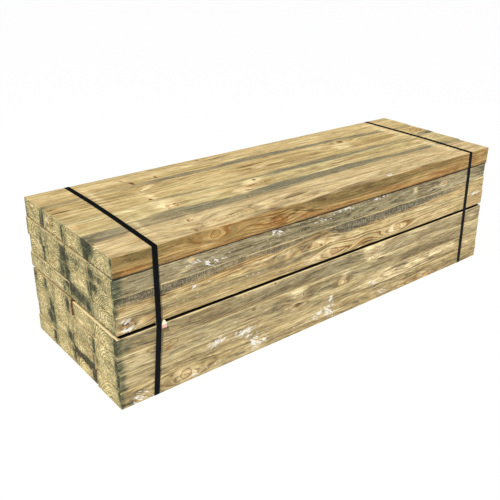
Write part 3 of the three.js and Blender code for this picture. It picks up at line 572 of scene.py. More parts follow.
    def cover(items, low, high, wobble=1.0):
        spots = tab(items, box)
        if not spots:
            return None
        q = g.m("MULTIPLY_ADD", edge, wobble, nearest(g, Pw, spots))
        return g.step(q, low, high, 1.0, 0.0)

    PP = g.xyz(Pw)
    PX = g.xyz(P)
    saw = g.noise(g.v("MULTIPLY", Q, (240.0, 40.0, 60.0)), 3.0, 0.7)
    furry = g.mix(g.step(saw, 0.36, 0.64), lin(60, 56, 44), lin(148, 140, 114))
    waver = g.m("MULTIPLY", g.m("ADD", g.m("SUBTRACT", mottle, 0.5), g.m("SUBTRACT", coarse, 0.5)), 0.020)
    has_strip = False
    for face, colour, soft, points in BANDS:
        lows, highs = [q[1] for q in points], [q[2] for q in points]
        if face == "T" and not (z1 > 640 and min(lows) < y1 and max(highs) > y0):
            continue
        if face in "FB" and not ((y0 < 60 if face == "F" else y1 > 740) and min(lows) < z1 and max(highs) > z0):
            continue
        lo, hi, power = g.along(PX[0], points)
        if face == "T":
            across = g.m("ADD", g.m("ADD", PX[1], SHIFT_Y / 1000.0), waver)
            on = g.m("GREATER_THAN", N[2], 0.5)
        else:
            across = g.m("ADD", PX[2], g.m("MULTIPLY", waver, 0.6))
            on = g.m("LESS_THAN", N[1], -0.5) if face == "F" else g.m("GREATER_THAN", N[1], 0.5)
        s = soft / 1000.0
        inside = g.m("MULTIPLY", g.step(g.m("SUBTRACT", across, lo), -s, s), g.step(g.m("SUBTRACT", hi, across), -s, s))
        inside = g.m("MULTIPLY", g.m("MULTIPLY", inside, on), power)
        if colour == "strip":
            c = g.mix(g.m("MULTIPLY", inside, 0.94), c, furry)
            has_strip = True
        else:
            patchy = g.step(coarse, 0.30, 0.70, 1.0, 0.88 if face == "T" else 0.70)
            c = g.mix(g.m("MULTIPLY", inside, g.m("MULTIPLY", patchy, p["grey"])), c,
                      UMBER if colour == "umber" else TOPGREY if face == "T" else GREYGREEN)
    # warm streaks
    ember = g.noise(g.v("MULTIPLY", G, (2.6, 52.0, 52.0)), 3.0, 0.62)
    c = g.mix(g.m("MULTIPLY", g.step(ember, 0.50, 0.70), p["warm"]), c, lin(200, 156, 84))
    warm = cover(ORANGE, 0.2, 1.3, 1.4)
    if warm is not None:
        c = g.mix(g.m("MULTIPLY", warm, g.step(coarse, 0.3, 0.7, 0.85, 0.30)), c, ORANGEBROWN)
    flare = cover(PALE, 0.1, 1.3, 0.8)
    if flare is not None:
        c = g.mix(g.m("MULTIPLY", flare, g.step(coarse, 0.3, 0.7, 0.45, 0.95)), c, lin(244, 222, 170))
    # knots
    if "live" in qs:
        q = g.m("MULTIPLY_ADD", g.m("SUBTRACT", mottle, 0.5), 1.1, qs["live"])
        c = g.mix(g.m("MULTIPLY", g.step(q, 0.9, 3.0, 1.0, 0.0), 0.5), c, lin(236, 212, 158))
        turn = g.m("FRACT", g.m("MULTIPLY", q, 3.1))
        heart = g.mix(g.step(turn, 0.35, 0.9), lin(228, 188, 126), lin(158, 108, 58))
        c = g.mix(g.m("MULTIPLY", g.step(q, 0.7, 1.25, 1.0, 0.0), 0.72), c, heart)
        rim = g.step(g.m("ABSOLUTE", g.m("SUBTRACT", q, 1.05)), 0.0, 0.22, 1.0, 0.0)
        c = g.mix(g.m("MULTIPLY", rim, g.step(coarse, 0.35, 0.6, 0.15, 0.75)), c, lin(120, 76, 38))
    if "ring" in qs:
        q = g.m("MULTIPLY_ADD", g.m("SUBTRACT", mottle, 0.5), 0.35, qs["ring"])
        c = g.mix(g.m("MULTIPLY", g.step(q, 1.0, 2.1, 1.0, 0.0), 0.45), c, lin(244, 220, 168))
        turn = g.m("FRACT", g.m("MULTIPLY", q, 2.7))
        heart = g.mix(g.step(turn, 0.4, 0.95), lin(232, 204, 148), lin(186, 146, 92))
        c = g.mix(g.m("MULTIPLY", g.step(q, 0.9, 1.1, 1.0, 0.0), 0.75), c, heart)
        rim = g.step(g.m("ABSOLUTE", g.m("SUBTRACT", q, 0.98)), 0.0, 0.17, 1.0, 0.0)
        c = g.mix(g.m("MULTIPLY", rim, 0.85), c, lin(96, 68, 36))
    if "dark" in qs:
        q = g.m("MULTIPLY_ADD", g.m("SUBTRACT", mottle, 0.5), 0.9, qs["dark"])
        c = g.mix(g.m("MULTIPLY", g.step(q, 0.9, 2.6, 1.0, 0.0), 0.45), c, ORANGEBROWN)
        c = g.mix(g.step(q, 0.8, 1.3, 0.92, 0.0), c, BLACKBROWN)
    spots = tab(EYES, box)
    if spots:
        q = g.m("MULTIPLY_ADD", g.m("SUBTRACT", mottle, 0.5), 0.5, nearest(g, Pw, spots))
        thin = g.step(g.m("PINGPONG", g.m("SUBTRACT", q, 0.03), 0.24), 0.0, 0.13, 1.0, 0.0)
        c = g.mix(g.m("MULTIPLY", g.m("MULTIPLY", thin, g.step(q, 1.0, 1.3, 0.62, 0.0)), g.step(coarse, 0.3, 0.6, 0.45, 1.0)), c, lin(118, 88, 48))
    torn_out = cover(MARKS, 0.50, 1.2, 0.7)
    if torn_out is not None:
        c = g.mix(g.m("MULTIPLY", torn_out, g.step(coarse, 0.3, 0.7, 0.9, 0.55)), c, lin(98, 66, 34))
    deep = cover(GREEN, 0.55, 1.45, 0.55)
    if deep is not None:
        c = g.mix(g.m("MULTIPLY", deep, g.step(grit, 0.34, 0.66, 0.95, 0.60)), c, lin(64, 78, 54))
    warmer = g.join(g.m("MINIMUM", g.m("POWER", tone, 1.02), g.m("POWER", tone, 0.84)), tone,
                    g.m("MAXIMUM", g.m("POWER", tone, 0.86), g.m("POWER", tone, 1.3)))
    c = g.mix(1.0, c, warmer, "MULTIPLY")
    for face, tint in p["faces"].items():
        side = {"F": (1, -0.5), "T": (2, 0.5), "B": (1, 0.5)}[face]
        on = g.m("LESS_THAN" if side[1] < 0 else "GREATER_THAN", N[side[0]], side[1])
        c = g.mix(on, c, g.mix(1.0, c, (*tint, 1.0), "MULTIPLY"))
    # pale and dark flecks of rough fibre
    fleck = g.noise(g.v("MULTIPLY", Q, (60.0, 200.0, 200.0)), 2.0, 0.6)
    c = g.mix(g.m("MULTIPLY", g.step(fleck, 0.62, 0.72), p["flecks"]), c, lin(240, 228, 190))
    c = g.mix(g.m("MULTIPLY", g.step(fleck, 0.37, 0.28), p["flecks"] * 0.9), c, lin(104, 84, 50))
    spots = tab(SCUFFS, box)
    if spots:
        lean = p["lean"]
        X, Y, Z = g.xyz(Q)[0], g.xyz(Q)[1], g.xyz(Q)[2]
        run = g.m("ADD", g.m("MULTIPLY", X, 26.0), g.m("MULTIPLY", Z, 20.0 * lean))
        cross = g.m("SUBTRACT", g.m("MULTIPLY", Z, 120.0), g.m("MULTIPLY", X, 62.0 * lean))
        chalk = g.noise(g.join(run, g.m("MULTIPLY", Y, 60.0), cross), 4.0, 0.70)
        q = g.m("MULTIPLY_ADD", edge, 0.45, nearest(g, Pw, spots))
        worn = g.m("MULTIPLY_ADD", g.m("SUBTRACT", 0.66, q), 0.13, chalk)
        c = g.mix(g.step(worn, 0.475, 0.535, 0.0, 0.92), c, lin(250, 248, 240))
    crack = None
    for face, a0, b0, a1, b1, half in CRACKS:
        f = (face, a0, a1, b0, b1)
        if not touches(f, box, 5):
            continue
        if face in "FB":
            ends = [place(a, 0 if face == "F" else 796, b) for a, b in ((a0, b0), (a1, b1))]
            mask = (1, 0, 1)
        elif face == "T":
            ends = [place(a, b, 681) for a, b in ((a0, b0), (a1, b1))]
            mask = (1, 1, 0)
        else:
            ends = [place(0, a, b) for a, b in ((a0, b0), (a1, b1))]
            mask = (0, 1, 1)
        A, D = np.array(ends[0]) * mask, (np.array(ends[1]) - np.array(ends[0])) * mask
        length2 = float(D @ D)
        V = g.v("SUBTRACT", g.v("MULTIPLY", g.v("ADD", P, g.v("MULTIPLY", quick, (0.0, 0.007, 0.007))), mask), tuple(A))
        h = g.m("MULTIPLY", g.v("DOT_PRODUCT", V, tuple(D)), 1.0 / length2, clamp=True)
        away = g.v("LENGTH", g.v("SUBTRACT", V, g.scale(tuple(D), h)))
        thin = g.m("MULTIPLY", g.m("SUBTRACT", 1.0, g.m("MULTIPLY", g.m("ABSOLUTE", g.m("SUBTRACT", h, 0.5)), 1.2)), half / 1000.0)
        line = g.m("MULTIPLY", g.m("LESS_THAN", away, thin), 1.0)
        crack = line if crack is None else g.m("MAXIMUM", crack, line)

    for what, amount in p["arris_highlight_shade"]:
        # a line along the front upper or lower edge: pale is a painted highlight on the lit edge, dark is painted shade
        # at the joint below the top tier
        zz = (z1 if what[0] == "u" else z0) / 1000.0
        away = g.m("ABSOLUTE", g.m("SUBTRACT", PX[2], zz))
        wide = g.m("MULTIPLY_ADD", g.step(coarse, 0.3, 0.7), 0.006, 0.0015)
        on = g.m("MULTIPLY", g.m("LESS_THAN", away, wide), g.m("LESS_THAN", N[1], -0.2))
        c = g.mix(g.m("MULTIPLY", on, amount), c, lin(246, 224, 168) if what[1] == "p" else lin(30, 22, 14))
    # painted shade: between tiers 4 and 5, tier 5's top and tier 4's bottom face are painted near black a little in
    # from the front and the near end; on columns 3 and 4 the first few mm in from the near end are painted pale cream,
    # a painted highlight
    if p["gap"]:
        on = g.m("GREATER_THAN", g.m("MULTIPLY", N[2], p["gap"]), 0.5)
        inside = g.step(PX[1], place(0, 1.5, 0)[1], place(0, 4.5, 0)[1])
        inside = g.m("MULTIPLY", inside, g.step(PX[0], place(13, 0, 0)[0], place(18, 0, 0)[0]))
        c = g.mix(g.m("MULTIPLY", on, g.m("MULTIPLY", inside, 0.97)), c, lin(14, 13, 12))
        c = g.mix(g.m("MULTIPLY", on, g.step(PX[0], place(4, 0, 0)[0], place(10, 0, 0)[0], p["gap_pale"], 0.0)), c, lin(252, 232, 180))
    # painted shade: the front side of a column 2 sleeper, within 160 mm of the near end, seen down the open joint
    # between columns
    if p["inner"]:
        on = g.m("MULTIPLY", g.m("LESS_THAN", N[1], -0.5), g.m("LESS_THAN", PX[0], place(160, 0, 0)[0]))
        c = g.mix(g.m("MULTIPLY", on, 0.9), c, p["inner"])

    # end grain
    ce = g.mix(g.step(mottle, 0.32, 0.68), p["end_light"], p["end_mid"])
    across = g.v("MULTIPLY", Q, (1.0, 20.0, 120.0))
    torn = g.noise(g.v("ADD", across, g.scale(g.v("MULTIPLY", quick, (0, 1, 1)), 3.0)), 3.0, 0.65)
    ringed = g.step(which, 0.25, 0.65, 0.6, 1.0)
    ce = g.mix(g.m("MULTIPLY", late, g.m("MULTIPLY", ringed, 0.98)), ce, lin(112, 100, 60))
    early = g.m("SUBTRACT", g.step(part, 0.0, 0.10), g.step(part, 0.12, 0.34))
    ce = g.mix(g.m("MULTIPLY", early, 0.85), ce, lin(250, 238, 194))
    ce = g.mix(g.m("MULTIPLY", fine, 0.25), ce, OLIVE)
    Ly, Lz = g.xyz(Q)[1], g.xyz(Q)[2]
    hatch = g.noise(g.join(g.m("MULTIPLY", g.m("ADD", Ly, g.m("MULTIPLY", Lz, 0.7)), 200.0),
                           g.m("MULTIPLY", g.m("SUBTRACT", Lz, g.m("MULTIPLY", Ly, 0.7)), 36.0), p["seed"][0]), 3.0, 0.65)
    cloud = g.noise(g.v("MULTIPLY", Q, (3.0, 14.0, 14.0)), 3.0, 0.6)
    ce = g.mix(g.step(cloud, 0.46, 0.68, 0.0, 0.65), ce, lin(146, 138, 100))
    near_y = g.xyz(L)[1]
    rim_l = g.step(g.m("ADD", g.m("SUBTRACT", (y1 - y0) / 2000.0, near_y), g.m("MULTIPLY", g.m("SUBTRACT", mottle, 0.5), 0.06)), 0.0, p["sap"][0] / 1000.0, 1.0, 0.0)
    rim_r = g.step(g.m("ADD", g.m("ADD", (y1 - y0) / 2000.0, near_y), g.m("MULTIPLY", g.m("SUBTRACT", mottle, 0.5), 0.06)), 0.0, p["sap"][1] / 1000.0, 1.0, 0.0)
    ce = g.mix(g.m("MULTIPLY", g.m("MAXIMUM", rim_l, rim_r), 0.6), ce, lin(104, 108, 80))
    wob = g.m("MULTIPLY_ADD", g.m("SUBTRACT", torn, 0.5), 0.6, g.m("MULTIPLY", g.m("SUBTRACT", mottle, 0.5), 0.8))

    def end_cover(items, low, high):
        spots = tab(items, box)
        if not spots:
            return None
        return g.step(g.m("ADD", nearest(g, P, spots), wob), low, high, 1.0, 0.0)

    e = end_cover(END_PALE, 0.1, 1.4)
    if e is not None:
        ce = g.mix(g.m("MULTIPLY", e, g.step(torn, 0.3, 0.7, 0.25, 0.75)), ce, lin(244, 226, 176))
    e = end_cover(END_ORANGE, 0.3, 1.2)
    if e is not None:
        ce = g.mix(g.m("MULTIPLY", e, g.step(hatch, 0.35, 0.65, 0.85, 0.25)), ce, lin(158, 100, 50))
    swirl = g.noise(g.v("MULTIPLY", Q, (4.0, 52.0, 52.0)), 2.0, 0.55, distortion=2.2)
    e = end_cover(END_STAINS, 0.9, 2.3)
    if e is not None:
        ce = g.mix(g.m("MULTIPLY", e, 0.55), ce, lin(112, 118, 88))
    e = end_cover(END_STAINS, 0.60, 1.45)
    if e is not None:
        ce = g.mix(g.m("MULTIPLY", e, g.step(hatch, 0.34, 0.66, 0.97, 0.76)), ce, lin(38, 46, 34))
    # brown black end patches, in part painted shade
    e = end_cover(END_DARK_STAIN_SHADE, 0.8, 1.15)
    if e is not None:
        ce = g.mix(g.m("MULTIPLY", e, g.step(hatch, 0.3, 0.7, 0.98, 0.84)), ce, lin(50, 46, 35))
    e1 = g.m("SUBTRACT", g.step(torn, 0.28, 0.72), 0.5)
    e2 = g.m("SUBTRACT", g.step(hatch, 0.28, 0.72), 0.5)
    e3 = g.m("SUBTRACT", g.step(swirl, 0.32, 0.68), 0.5)
    tone_e = g.m("MULTIPLY_ADD", e1, 0.72, 1.03)
    tone_e = g.m("MULTIPLY_ADD", e2, 0.60, tone_e)
    tone_e = g.m("MULTIPLY_ADD", e3, 0.55, tone_e)
    tone_e = g.m("MULTIPLY_ADD", s1, 0.42, tone_e)
    tone_e = g.m("MULTIPLY_ADD", s3, 0.35, tone_e)
    tone_e = g.m("MAXIMUM", tone_e, 0.2)
    ce = g.mix(1.0, ce, g.join(tone_e, tone_e, g.m("MAXIMUM", g.m("POWER", tone_e, 0.9), g.m("POWER", tone_e, 1.25))), "MULTIPLY")
    ce = g.mix(1.0, ce, (0.98, 0.975, 0.86, 1.0), "MULTIPLY")
    # painted highlight: a pale cream line along the top edge of each end face
    below = g.m("SUBTRACT", z1 / 1000.0, PX[2])
    ledge_highlight = g.m("LESS_THAN", below, g.m("MULTIPLY_ADD", g.step(mottle, 0.3, 0.7), p["ledge_highlight"][1] / 1000.0, 0.001))
    ce = g.mix(g.m("MULTIPLY", ledge_highlight, p["ledge_highlight"][0]), ce, lin(250, 232, 186))
    # painted shade: a dark brown line along the bottom edge of each end face, at its joint with the tier below
    above = g.m("SUBTRACT", PX[2], z0 / 1000.0)
    under_shade = g.m("LESS_THAN", above, g.m("MULTIPLY_ADD", g.step(coarse, 0.3, 0.7), 0.005, 0.001))
    ce = g.mix(g.m("MULTIPLY", under_shade, p["under_shade"]), ce, lin(48, 38, 24))
    ce = g.mix(g.m("MULTIPLY", g.step(fleck, 0.62, 0.72), 0.4), ce, CREAM)
    # radial checks
    ang = g.m("ARCTAN2", rz, ry)
    spoke = g.noise(g.join(g.m("MULTIPLY", ang, 5.0), p["seed"][1], g.m("MULTIPLY", r, 9.0)), 1.0, 0.5)
    ce = g.mix(g.step(g.m("ABSOLUTE", g.m("SUBTRACT", spoke, 0.5)), 0.0035, 0.0, 0.0, 0.45), ce, BROWN)

    colour = g.mix(end, c, ce)
    if crack is not None:
        colour = g.mix(g.m("MULTIPLY", crack, 0.9), colour, BLACKBROWN)
    colour = g.mix(1.0, colour, (0.84, 0.84, 0.84, 1.0), "MULTIPLY")
    nt.links.new(colour, bsdf.inputs["Base Color"])
    if p["fine"]:
        rough = g.m("MULTIPLY_ADD", streak, 0.22, 0.70)
        rough = g.m("SUBTRACT", rough, g.m("MULTIPLY", late, 0.06))
        nt.links.new(rough, bsdf.inputs["Roughness"])
        # relief: fibres, rings, band saw marks and torn end grain
        marks = g.noise(g.v("MULTIPLY", Q, (150.0, 6.0, 9.0)), 1.0, 0.5)
        side = g.m("ADD", g.m("MULTIPLY", fibre, 0.30), g.m("MULTIPLY", late, 0.16))
        side = g.m("ADD", side, g.m("MULTIPLY", marks, 0.22))
        side = g.m("ADD", side, g.m("MULTIPLY", g.step(fleck, 0.6, 0.75), 0.3))
        if has_strip:
            side = g.m("ADD", side, g.m("MULTIPLY", saw, 0.3))
        if crack is not None:
            side = g.m("SUBTRACT", side, crack)
        ends = g.m("ADD", g.m("MULTIPLY", torn, 0.9), g.m("MULTIPLY", late, 0.25))
        height = g.m("ADD", g.m("MULTIPLY", side, g.m("SUBTRACT", 1.0, end)), g.m("MULTIPLY", ends, end))
        bump = g.new("ShaderNodeBump")
        bump.inputs["Strength"].default_value = 0.7
        bump.inputs["Distance"].default_value = 0.0007
        g.put(bump.inputs["Height"], height)
        nt.links.new(bump.outputs[0], bsdf.inputs["Normal"])
    else:
        bsdf.inputs["Roughness"].default_value = 0.82
    return mat


# -------------------------------------------------------------------- meshes
def smooth_noise(rng, n, every, size):
    """n values in 0..size that wander smoothly over about `every` samples."""
    k = max(4, int(n / every) + 3)
    v = rng.random(k)
    t = np.linspace(0, k - 1.001, n)
    i = t.astype(int)
    f = t - i
    f = f * f * (3 - 2 * f)
    return (v[i] * (1 - f) + v[np.minimum(i + 1, k - 1)] * f) * size


def field(rng, u, w, nu, nw):
    """A smooth random sheet sampled at u, w in 0..1."""
    g = rng.random((nu + 2, nw + 2))
    a, b = u * nu, w * nw
    i, j = np.minimum(a.astype(int), nu), np.minimum(b.astype(int), nw)
    f, h = a - i, b - j
    f, h = f * f * (3 - 2 * f), h * h * (3 - 2 * h)
    return (g[i, j] * (1 - f) * (1 - h) + g[i + 1, j] * f * (1 - h) + g[i, j + 1] * (1 - f) * h + g[i + 1, j + 1] * f * h)


def make_mesh(name, verts, faces, material, sharp=40.0):
    me = bpy.data.meshes.new(name)
    faces = np.asarray(faces, dtype=np.int32)
    me.vertices.add(len(verts))
    me.vertices.foreach_set("co", np.asarray(verts, dtype=np.float32).ravel())
    me.loops.add(faces.size)
    me.loops.foreach_set("vertex_index", faces.ravel())
    me.polygons.add(len(faces))
    me.polygons.foreach_set("loop_start", np.arange(len(faces), dtype=np.int32) * faces.shape[1])
    me.update(calc_edges=True)
    me.validate()
    me.polygons.foreach_set("use_smooth", np.ones(len(me.polygons), dtype=bool))
    me.set_sharp_from_angle(angle=math.radians(sharp))
    me.materials.append(material)
    ob = bpy.data.objects.new(name, me)
    bpy.context.scene.collection.objects.link(ob)
    return ob


def volume(verts, faces):
    a, b, c, d = (verts[faces[:, k]] for k in range(4))
    return float((np.einsum("ij,ij->i", a, np.cross(b, c)) + np.einsum("ij,ij->i", a, np.cross(c, d))).sum())


def sleeper(name, box, material, nx, ny, nz, seed, wane=()):
    """A sawn length: rings of points along it with worn, slightly chipped long edges, closed by sawn ends. wane is a list of (corner, x, half length, radius) in mm. Corners: 0 front top, 1 back top, 2 back bottom, 3 front bottom."""
    rng = np.random.default_rng(seed)
    (x0, y0, z0), (x1, y1, z1) = box
    inner = np.linspace(0, 1, nx + 1)
    inner = inner + 0.0
    xs = np.concatenate([[x0, x0 + 0.9], x0 + 4 + (x1 - x0 - 8) * inner, [x1 - 0.9, x1]])
    nr = len(xs)
    A, Bn = ny + 4, nz + 4           # cells across and up, two at each corner for its arc
    # radius of each corner along the length
    rad = np.zeros((4, nr))
    for k in range(4):
        rad[k] = 1.6 + smooth_noise(rng, nr, 6, 1.6) + np.maximum(0, smooth_noise(rng, nr, 2, 3.2) - 2.2)
        for corner, xc, half, size in wane:
            if corner == k:
                w = np.clip(1 - ((xs - xc) / half) ** 2, 0, 1)
                rad[k] += size * w * w * (0.75 + smooth_noise(rng, nr, 5, 0.5))
    rows = []

    def corner_arc(cy, cz, sy, sz, r, t):
        """Point on a corner's arc: t 0 on the level side, 1 on the upright side."""
        a = t * math.pi / 2
        return cy + sy * (-r + r * np.sin(a)), cz + sz * (-r + r * np.cos(a))

    # Boundary of the lattice, walked from front top along the top to the back, down,
    # forward along the bottom and up again.
    rft, rbt, rbb, rfb = rad
    pts = []
    side = []

    def level(z, sz, ra, rb, toward_back, tag):
        # corner a is the front one
        ks = range(A) if toward_back else range(A, 0, -1)
        for k in ks:
            if k <= 2:
                a = 0.5 - 0.25 * k
                y, zz = corner_arc(y0, z, -1, sz, ra, a)
            elif k >= A - 2:
                a = 0.5 - 0.25 * (A - k)
                y, zz = corner_arc(y1, z, 1, sz, rb, a)
            else:
                f = (k - 2) / (A - 4)
                y = (y0 + ra) * (1 - f) + (y1 - rb) * f
                zz = np.full(nr, float(z))
            pts.append((y, zz))
            side.append(tag)

    def upright(y, sy, rt, rb, down, tag):
        ks = range(Bn) if down else range(Bn, 0, -1)
        for k in ks:
            if k <= 2:
                a = 0.5 + 0.25 * k
                yy, z = corner_arc(y, z1, sy, 1, rt, a)
            elif k >= Bn - 2:
                a = 0.5 + 0.25 * (Bn - k)
                yy, z = corner_arc(y, z0, sy, -1, rb, a)
            else:
                f = (k - 2) / (Bn - 4)
                z = (z1 - rt) * (1 - f) + (z0 + rb) * f
                yy = np.full(nr, float(y))
            pts.append((yy, z))
            side.append(tag)

    level(z1, 1, rft, rbt, True, 0)
    upright(y1, 1, rbt, rbb, True, 1)
    level(z0, -1, rfb, rbb, False, 2)
    upright(y0, -1, rft, rfb, False, 3)
    M = len(pts)
    Y = np.stack([p[0] for p in pts], 1)
    Z = np.stack([p[1] for p in pts], 1)
    X = np.repeat(xs[:, None], M, 1)
    # shallow inward relief of the sawn faces
    U = (xs - x0)[:, None] / (x1 - x0) * np.ones((1, M))
    for tag, axis, sign in ((0, "z", -1), (1, "y", -1), (2, "z", 1), (3, "y", 1)):
        sel = np.array([s == tag for s in side])
        idx = np.where(sel)[0]
        wv = np.linspace(0, 1, len(idx))[None, :] * np.ones((nr, 1))
        d = 0.30 * field(rng, U[:, idx], wv, 26, 4) + 0.16 * field(rng, U[:, idx], wv, 150, 9)
        if axis == "z":
            Z[:, idx] += sign * d
        else:
            Y[:, idx] += sign * d
    # the very ends are drawn in a little, so the sawn edge is broken
    my, mz = (y0 + y1) / 2, (z0 + z1) / 2
    for row in (0, nr - 1):
        Y[row] += np.clip(my - Y[row], -0.8, 0.8)
        Z[row] += np.clip(mz - Z[row], -0.8, 0.8)
    ring = np.stack([X, Y, Z], 2).reshape(-1, 3)

    def at(a, b):
        """Index in the ring of the lattice's boundary point (a across from the front, b down from the top)."""
        if b == 0 and a < A:
            return a
        if a == A and b < Bn:
            return A + b
        if b == Bn and a > 0:
            return A + Bn + (A - a)
        return 2 * A + Bn + (Bn - b)

    caps, faces = [], []
    for row, first in ((0, True), (nr - 1, False)):
        R = ring[row * M:(row + 1) * M]
        G = np.zeros((A + 1, Bn + 1, 3))
        u = np.linspace(0, 1, A + 1)[:, None, None]
        v = np.linspace(0, 1, Bn + 1)[None, :, None]
        top = np.array([R[at(a, 0)] for a in range(A + 1)])[:, None]
        bot = np.array([R[at(a, Bn)] for a in range(A + 1)])[:, None]
        lef = np.array([R[at(0, b)] for b in range(Bn + 1)])[None]
        rig = np.array([R[at(A, b)] for b in range(Bn + 1)])[None]
        G = (1 - v) * top + v * bot + (1 - u) * lef + u * rig - (
            (1 - u) * (1 - v) * top[0, 0] + u * (1 - v) * top[-1, 0] + (1 - u) * v * bot[0, 0] + u * v * bot[-1, 0])
        uu, vv = u[:, :, 0] * np.ones((1, Bn + 1)), v[:, :, 0] * np.ones((A + 1, 1))
        d = 0.5 * field(rng, uu, vv, 9, 5) + 0.45 * field(rng, uu, vv, 6, 34)
        fade = np.minimum(1, np.minimum(np.minimum(uu, 1 - uu) * A / 2, np.minimum(vv, 1 - vv) * Bn / 2))
        G[:, :, 0] += (1 if first else -1) * d * fade
        start = nr * M + sum(len(c) for c in caps)
        index = np.zeros((A + 1, Bn + 1), dtype=int)
        k = 0
        inside = []
        for a in range(A + 1):
            for b in range(Bn + 1):
                if 0 < a < A and 0 < b < Bn:
                    index[a, b] = start + k
                    inside.append(G[a, b])
                    k += 1
                else:
                    index[a, b] = row * M + at(a, b)
        caps.append(np.array(inside))
        for a in range(A):
            for b in range(Bn):
                q = [index[a, b], index[a + 1, b], index[a + 1, b + 1], index[a, b + 1]]
                faces.append(q if not first else q[::-1])
    j = np.arange(nr - 1)[:, None]
    i = np.arange(M)[None, :]
    i2 = (i + 1) % M
    tube = np.stack([j * M + i, j * M + i2, (j + 1) * M + i2, (j + 1) * M + i], 2).reshape(-1, 4)
    faces = np.array(faces)
    # both are turned to face out
    verts = np.concatenate([ring] + caps)
    verts = np.stack([(verts[:, 0] - SHIFT_X) / 1000, (verts[:, 1] - SHIFT_Y) / 1000, verts[:, 2] / 1000], 1)
    mid = verts.mean(0)
    f0 = tube[len(tube) // 2]
    n = np.cross(verts[f0[1]] - verts[f0[0]], verts[f0[2]] - verts[f0[0]])
    if n @ (verts[f0[0]] * (0, 1, 1) - mid * (0, 1, 1)) < 0:
        tube = tube[:, ::-1]
    half = len(faces) // 2
    for part, want in ((slice(0, half), -1), (slice(half, None), 1)):
        f0 = faces[part][half // 2]
        n = np.cross(verts[f0[1]] - verts[f0[0]], verts[f0[2]] - verts[f0[0]])
        if n[0] * want < 0:
            faces[part] = faces[part][:, ::-1]
    allf = np.concatenate([tube, faces])
    return make_mesh(name, verts, allf, material)


# ------------------------------------------------------------------ sleepers
rng = np.random.default_rng(20)
LOOK = {   # pith (y, z from the middle, mm), ring width, tones: light, mid; ring contrast; tint of a face; painted highlight and shade lines along the front edges
    (1, 1): dict(pith=(30, -90), ring=9, light=(226, 203, 146), mid=(202, 178, 122), contrast=0.42, grit=0.95, flecks=0.5),
    (1, 2): dict(pith=(-10, -70), ring=9, light=(228, 206, 149), mid=(204, 180, 123), contrast=0.42, grit=0.95, flecks=0.5),
    (1, 3): dict(pith=(20, -60), ring=9, light=(232, 215, 160), mid=(210, 189, 133), contrast=0.42, grit=0.95, flecks=0.5),
    (1, 4): dict(pith=(-30, -75), ring=8, light=(238, 220, 170), mid=(222, 200, 148), contrast=0.80, lines=0.42, calm=0.80, grit=1.0,
                 faces={"F": (0.70, 0.58, 0.395), "T": (0.94, 0.91, 0.89)}, arris_highlight_shade=[("ld", 0.5)]),
    (2, 4): dict(pith=(60, 10), ring=10, light=(190, 176, 136), mid=(168, 154, 116), contrast=0.35, arris_highlight_shade=[("ud", 0.9)], grit=2.0, flecks=1.0, warm=0.10, lean=-1.0),
    (3, 4): dict(pith=(-60, -115), ring=8, light=(228, 206, 150), mid=(208, 185, 130), contrast=0.85, arris_highlight_shade=[("up", 0.4)], grit=1.6, lines=0.5),
    (4, 4): dict(pith=(-50, -100), ring=9, light=(227, 204, 148), mid=(203, 180, 126), contrast=0.70, arris_highlight_shade=[("up", 0.35)], grit=1.2, lines=0.5, flecks=0.5),
    (5, 4): dict(pith=(-50, -60), ring=10, light=(200, 184, 141), mid=(179, 162, 120), contrast=0.5, arris_highlight_shade=[("up", 0.65)], grit=1.45, warm=0.22),
    (6, 4): dict(pith=(-10, -20), ring=12, light=(219, 202, 152), mid=(196, 178, 132), contrast=0.42, arris_highlight_shade=[("up", 0.45)], grit=1.6, warm=0.26),
    (7, 4): dict(pith=(-40, 90), ring=10, light=(207, 188, 139), mid=(187, 167, 119), contrast=0.5, arris_highlight_shade=[("up", 0.3)], grit=1.7, warm=0.26),
    (8, 4): dict(pith=(-40, -90), ring=10, light=(211, 191, 140), mid=(190, 168, 116), contrast=0.55, arris_highlight_shade=[("up", 0.3)], grit=1.85, warm=0.28, lean=-1.0),
    (5, 3): dict(pith=(0, -30), ring=11), (6, 3): dict(pith=(-70, 0), ring=12),
    (6, 1): dict(pith=(10, 10), ring=11), (5, 1): dict(pith=(0, -60), ring=11),
}
JOINT_SHADE = {(5, 2): lin(110, 62, 30), (7, 2): lin(30, 24, 18), (2, 2): lin(34, 26, 18)}    # the side seen in an open joint, painted shade: near black, dark reddish brown on tier 5
WANE = {
    "sleeper_t1_c4": [(0, 740, 240, 3.5), (0, 1500, 90, 3.0), (0, 1955, 60, 3.0)],
    "sleeper_t3_c2": [(1, 0, 500, 5.0)],
    "sleeper_t8_c3": [(0, 0, 300, 9.0)],
    "sleeper_t5_c2": [(3, 0, 260, 4.0)],
    "sleeper_t4_c3": [(3, 0, 400, 3.0)],
}
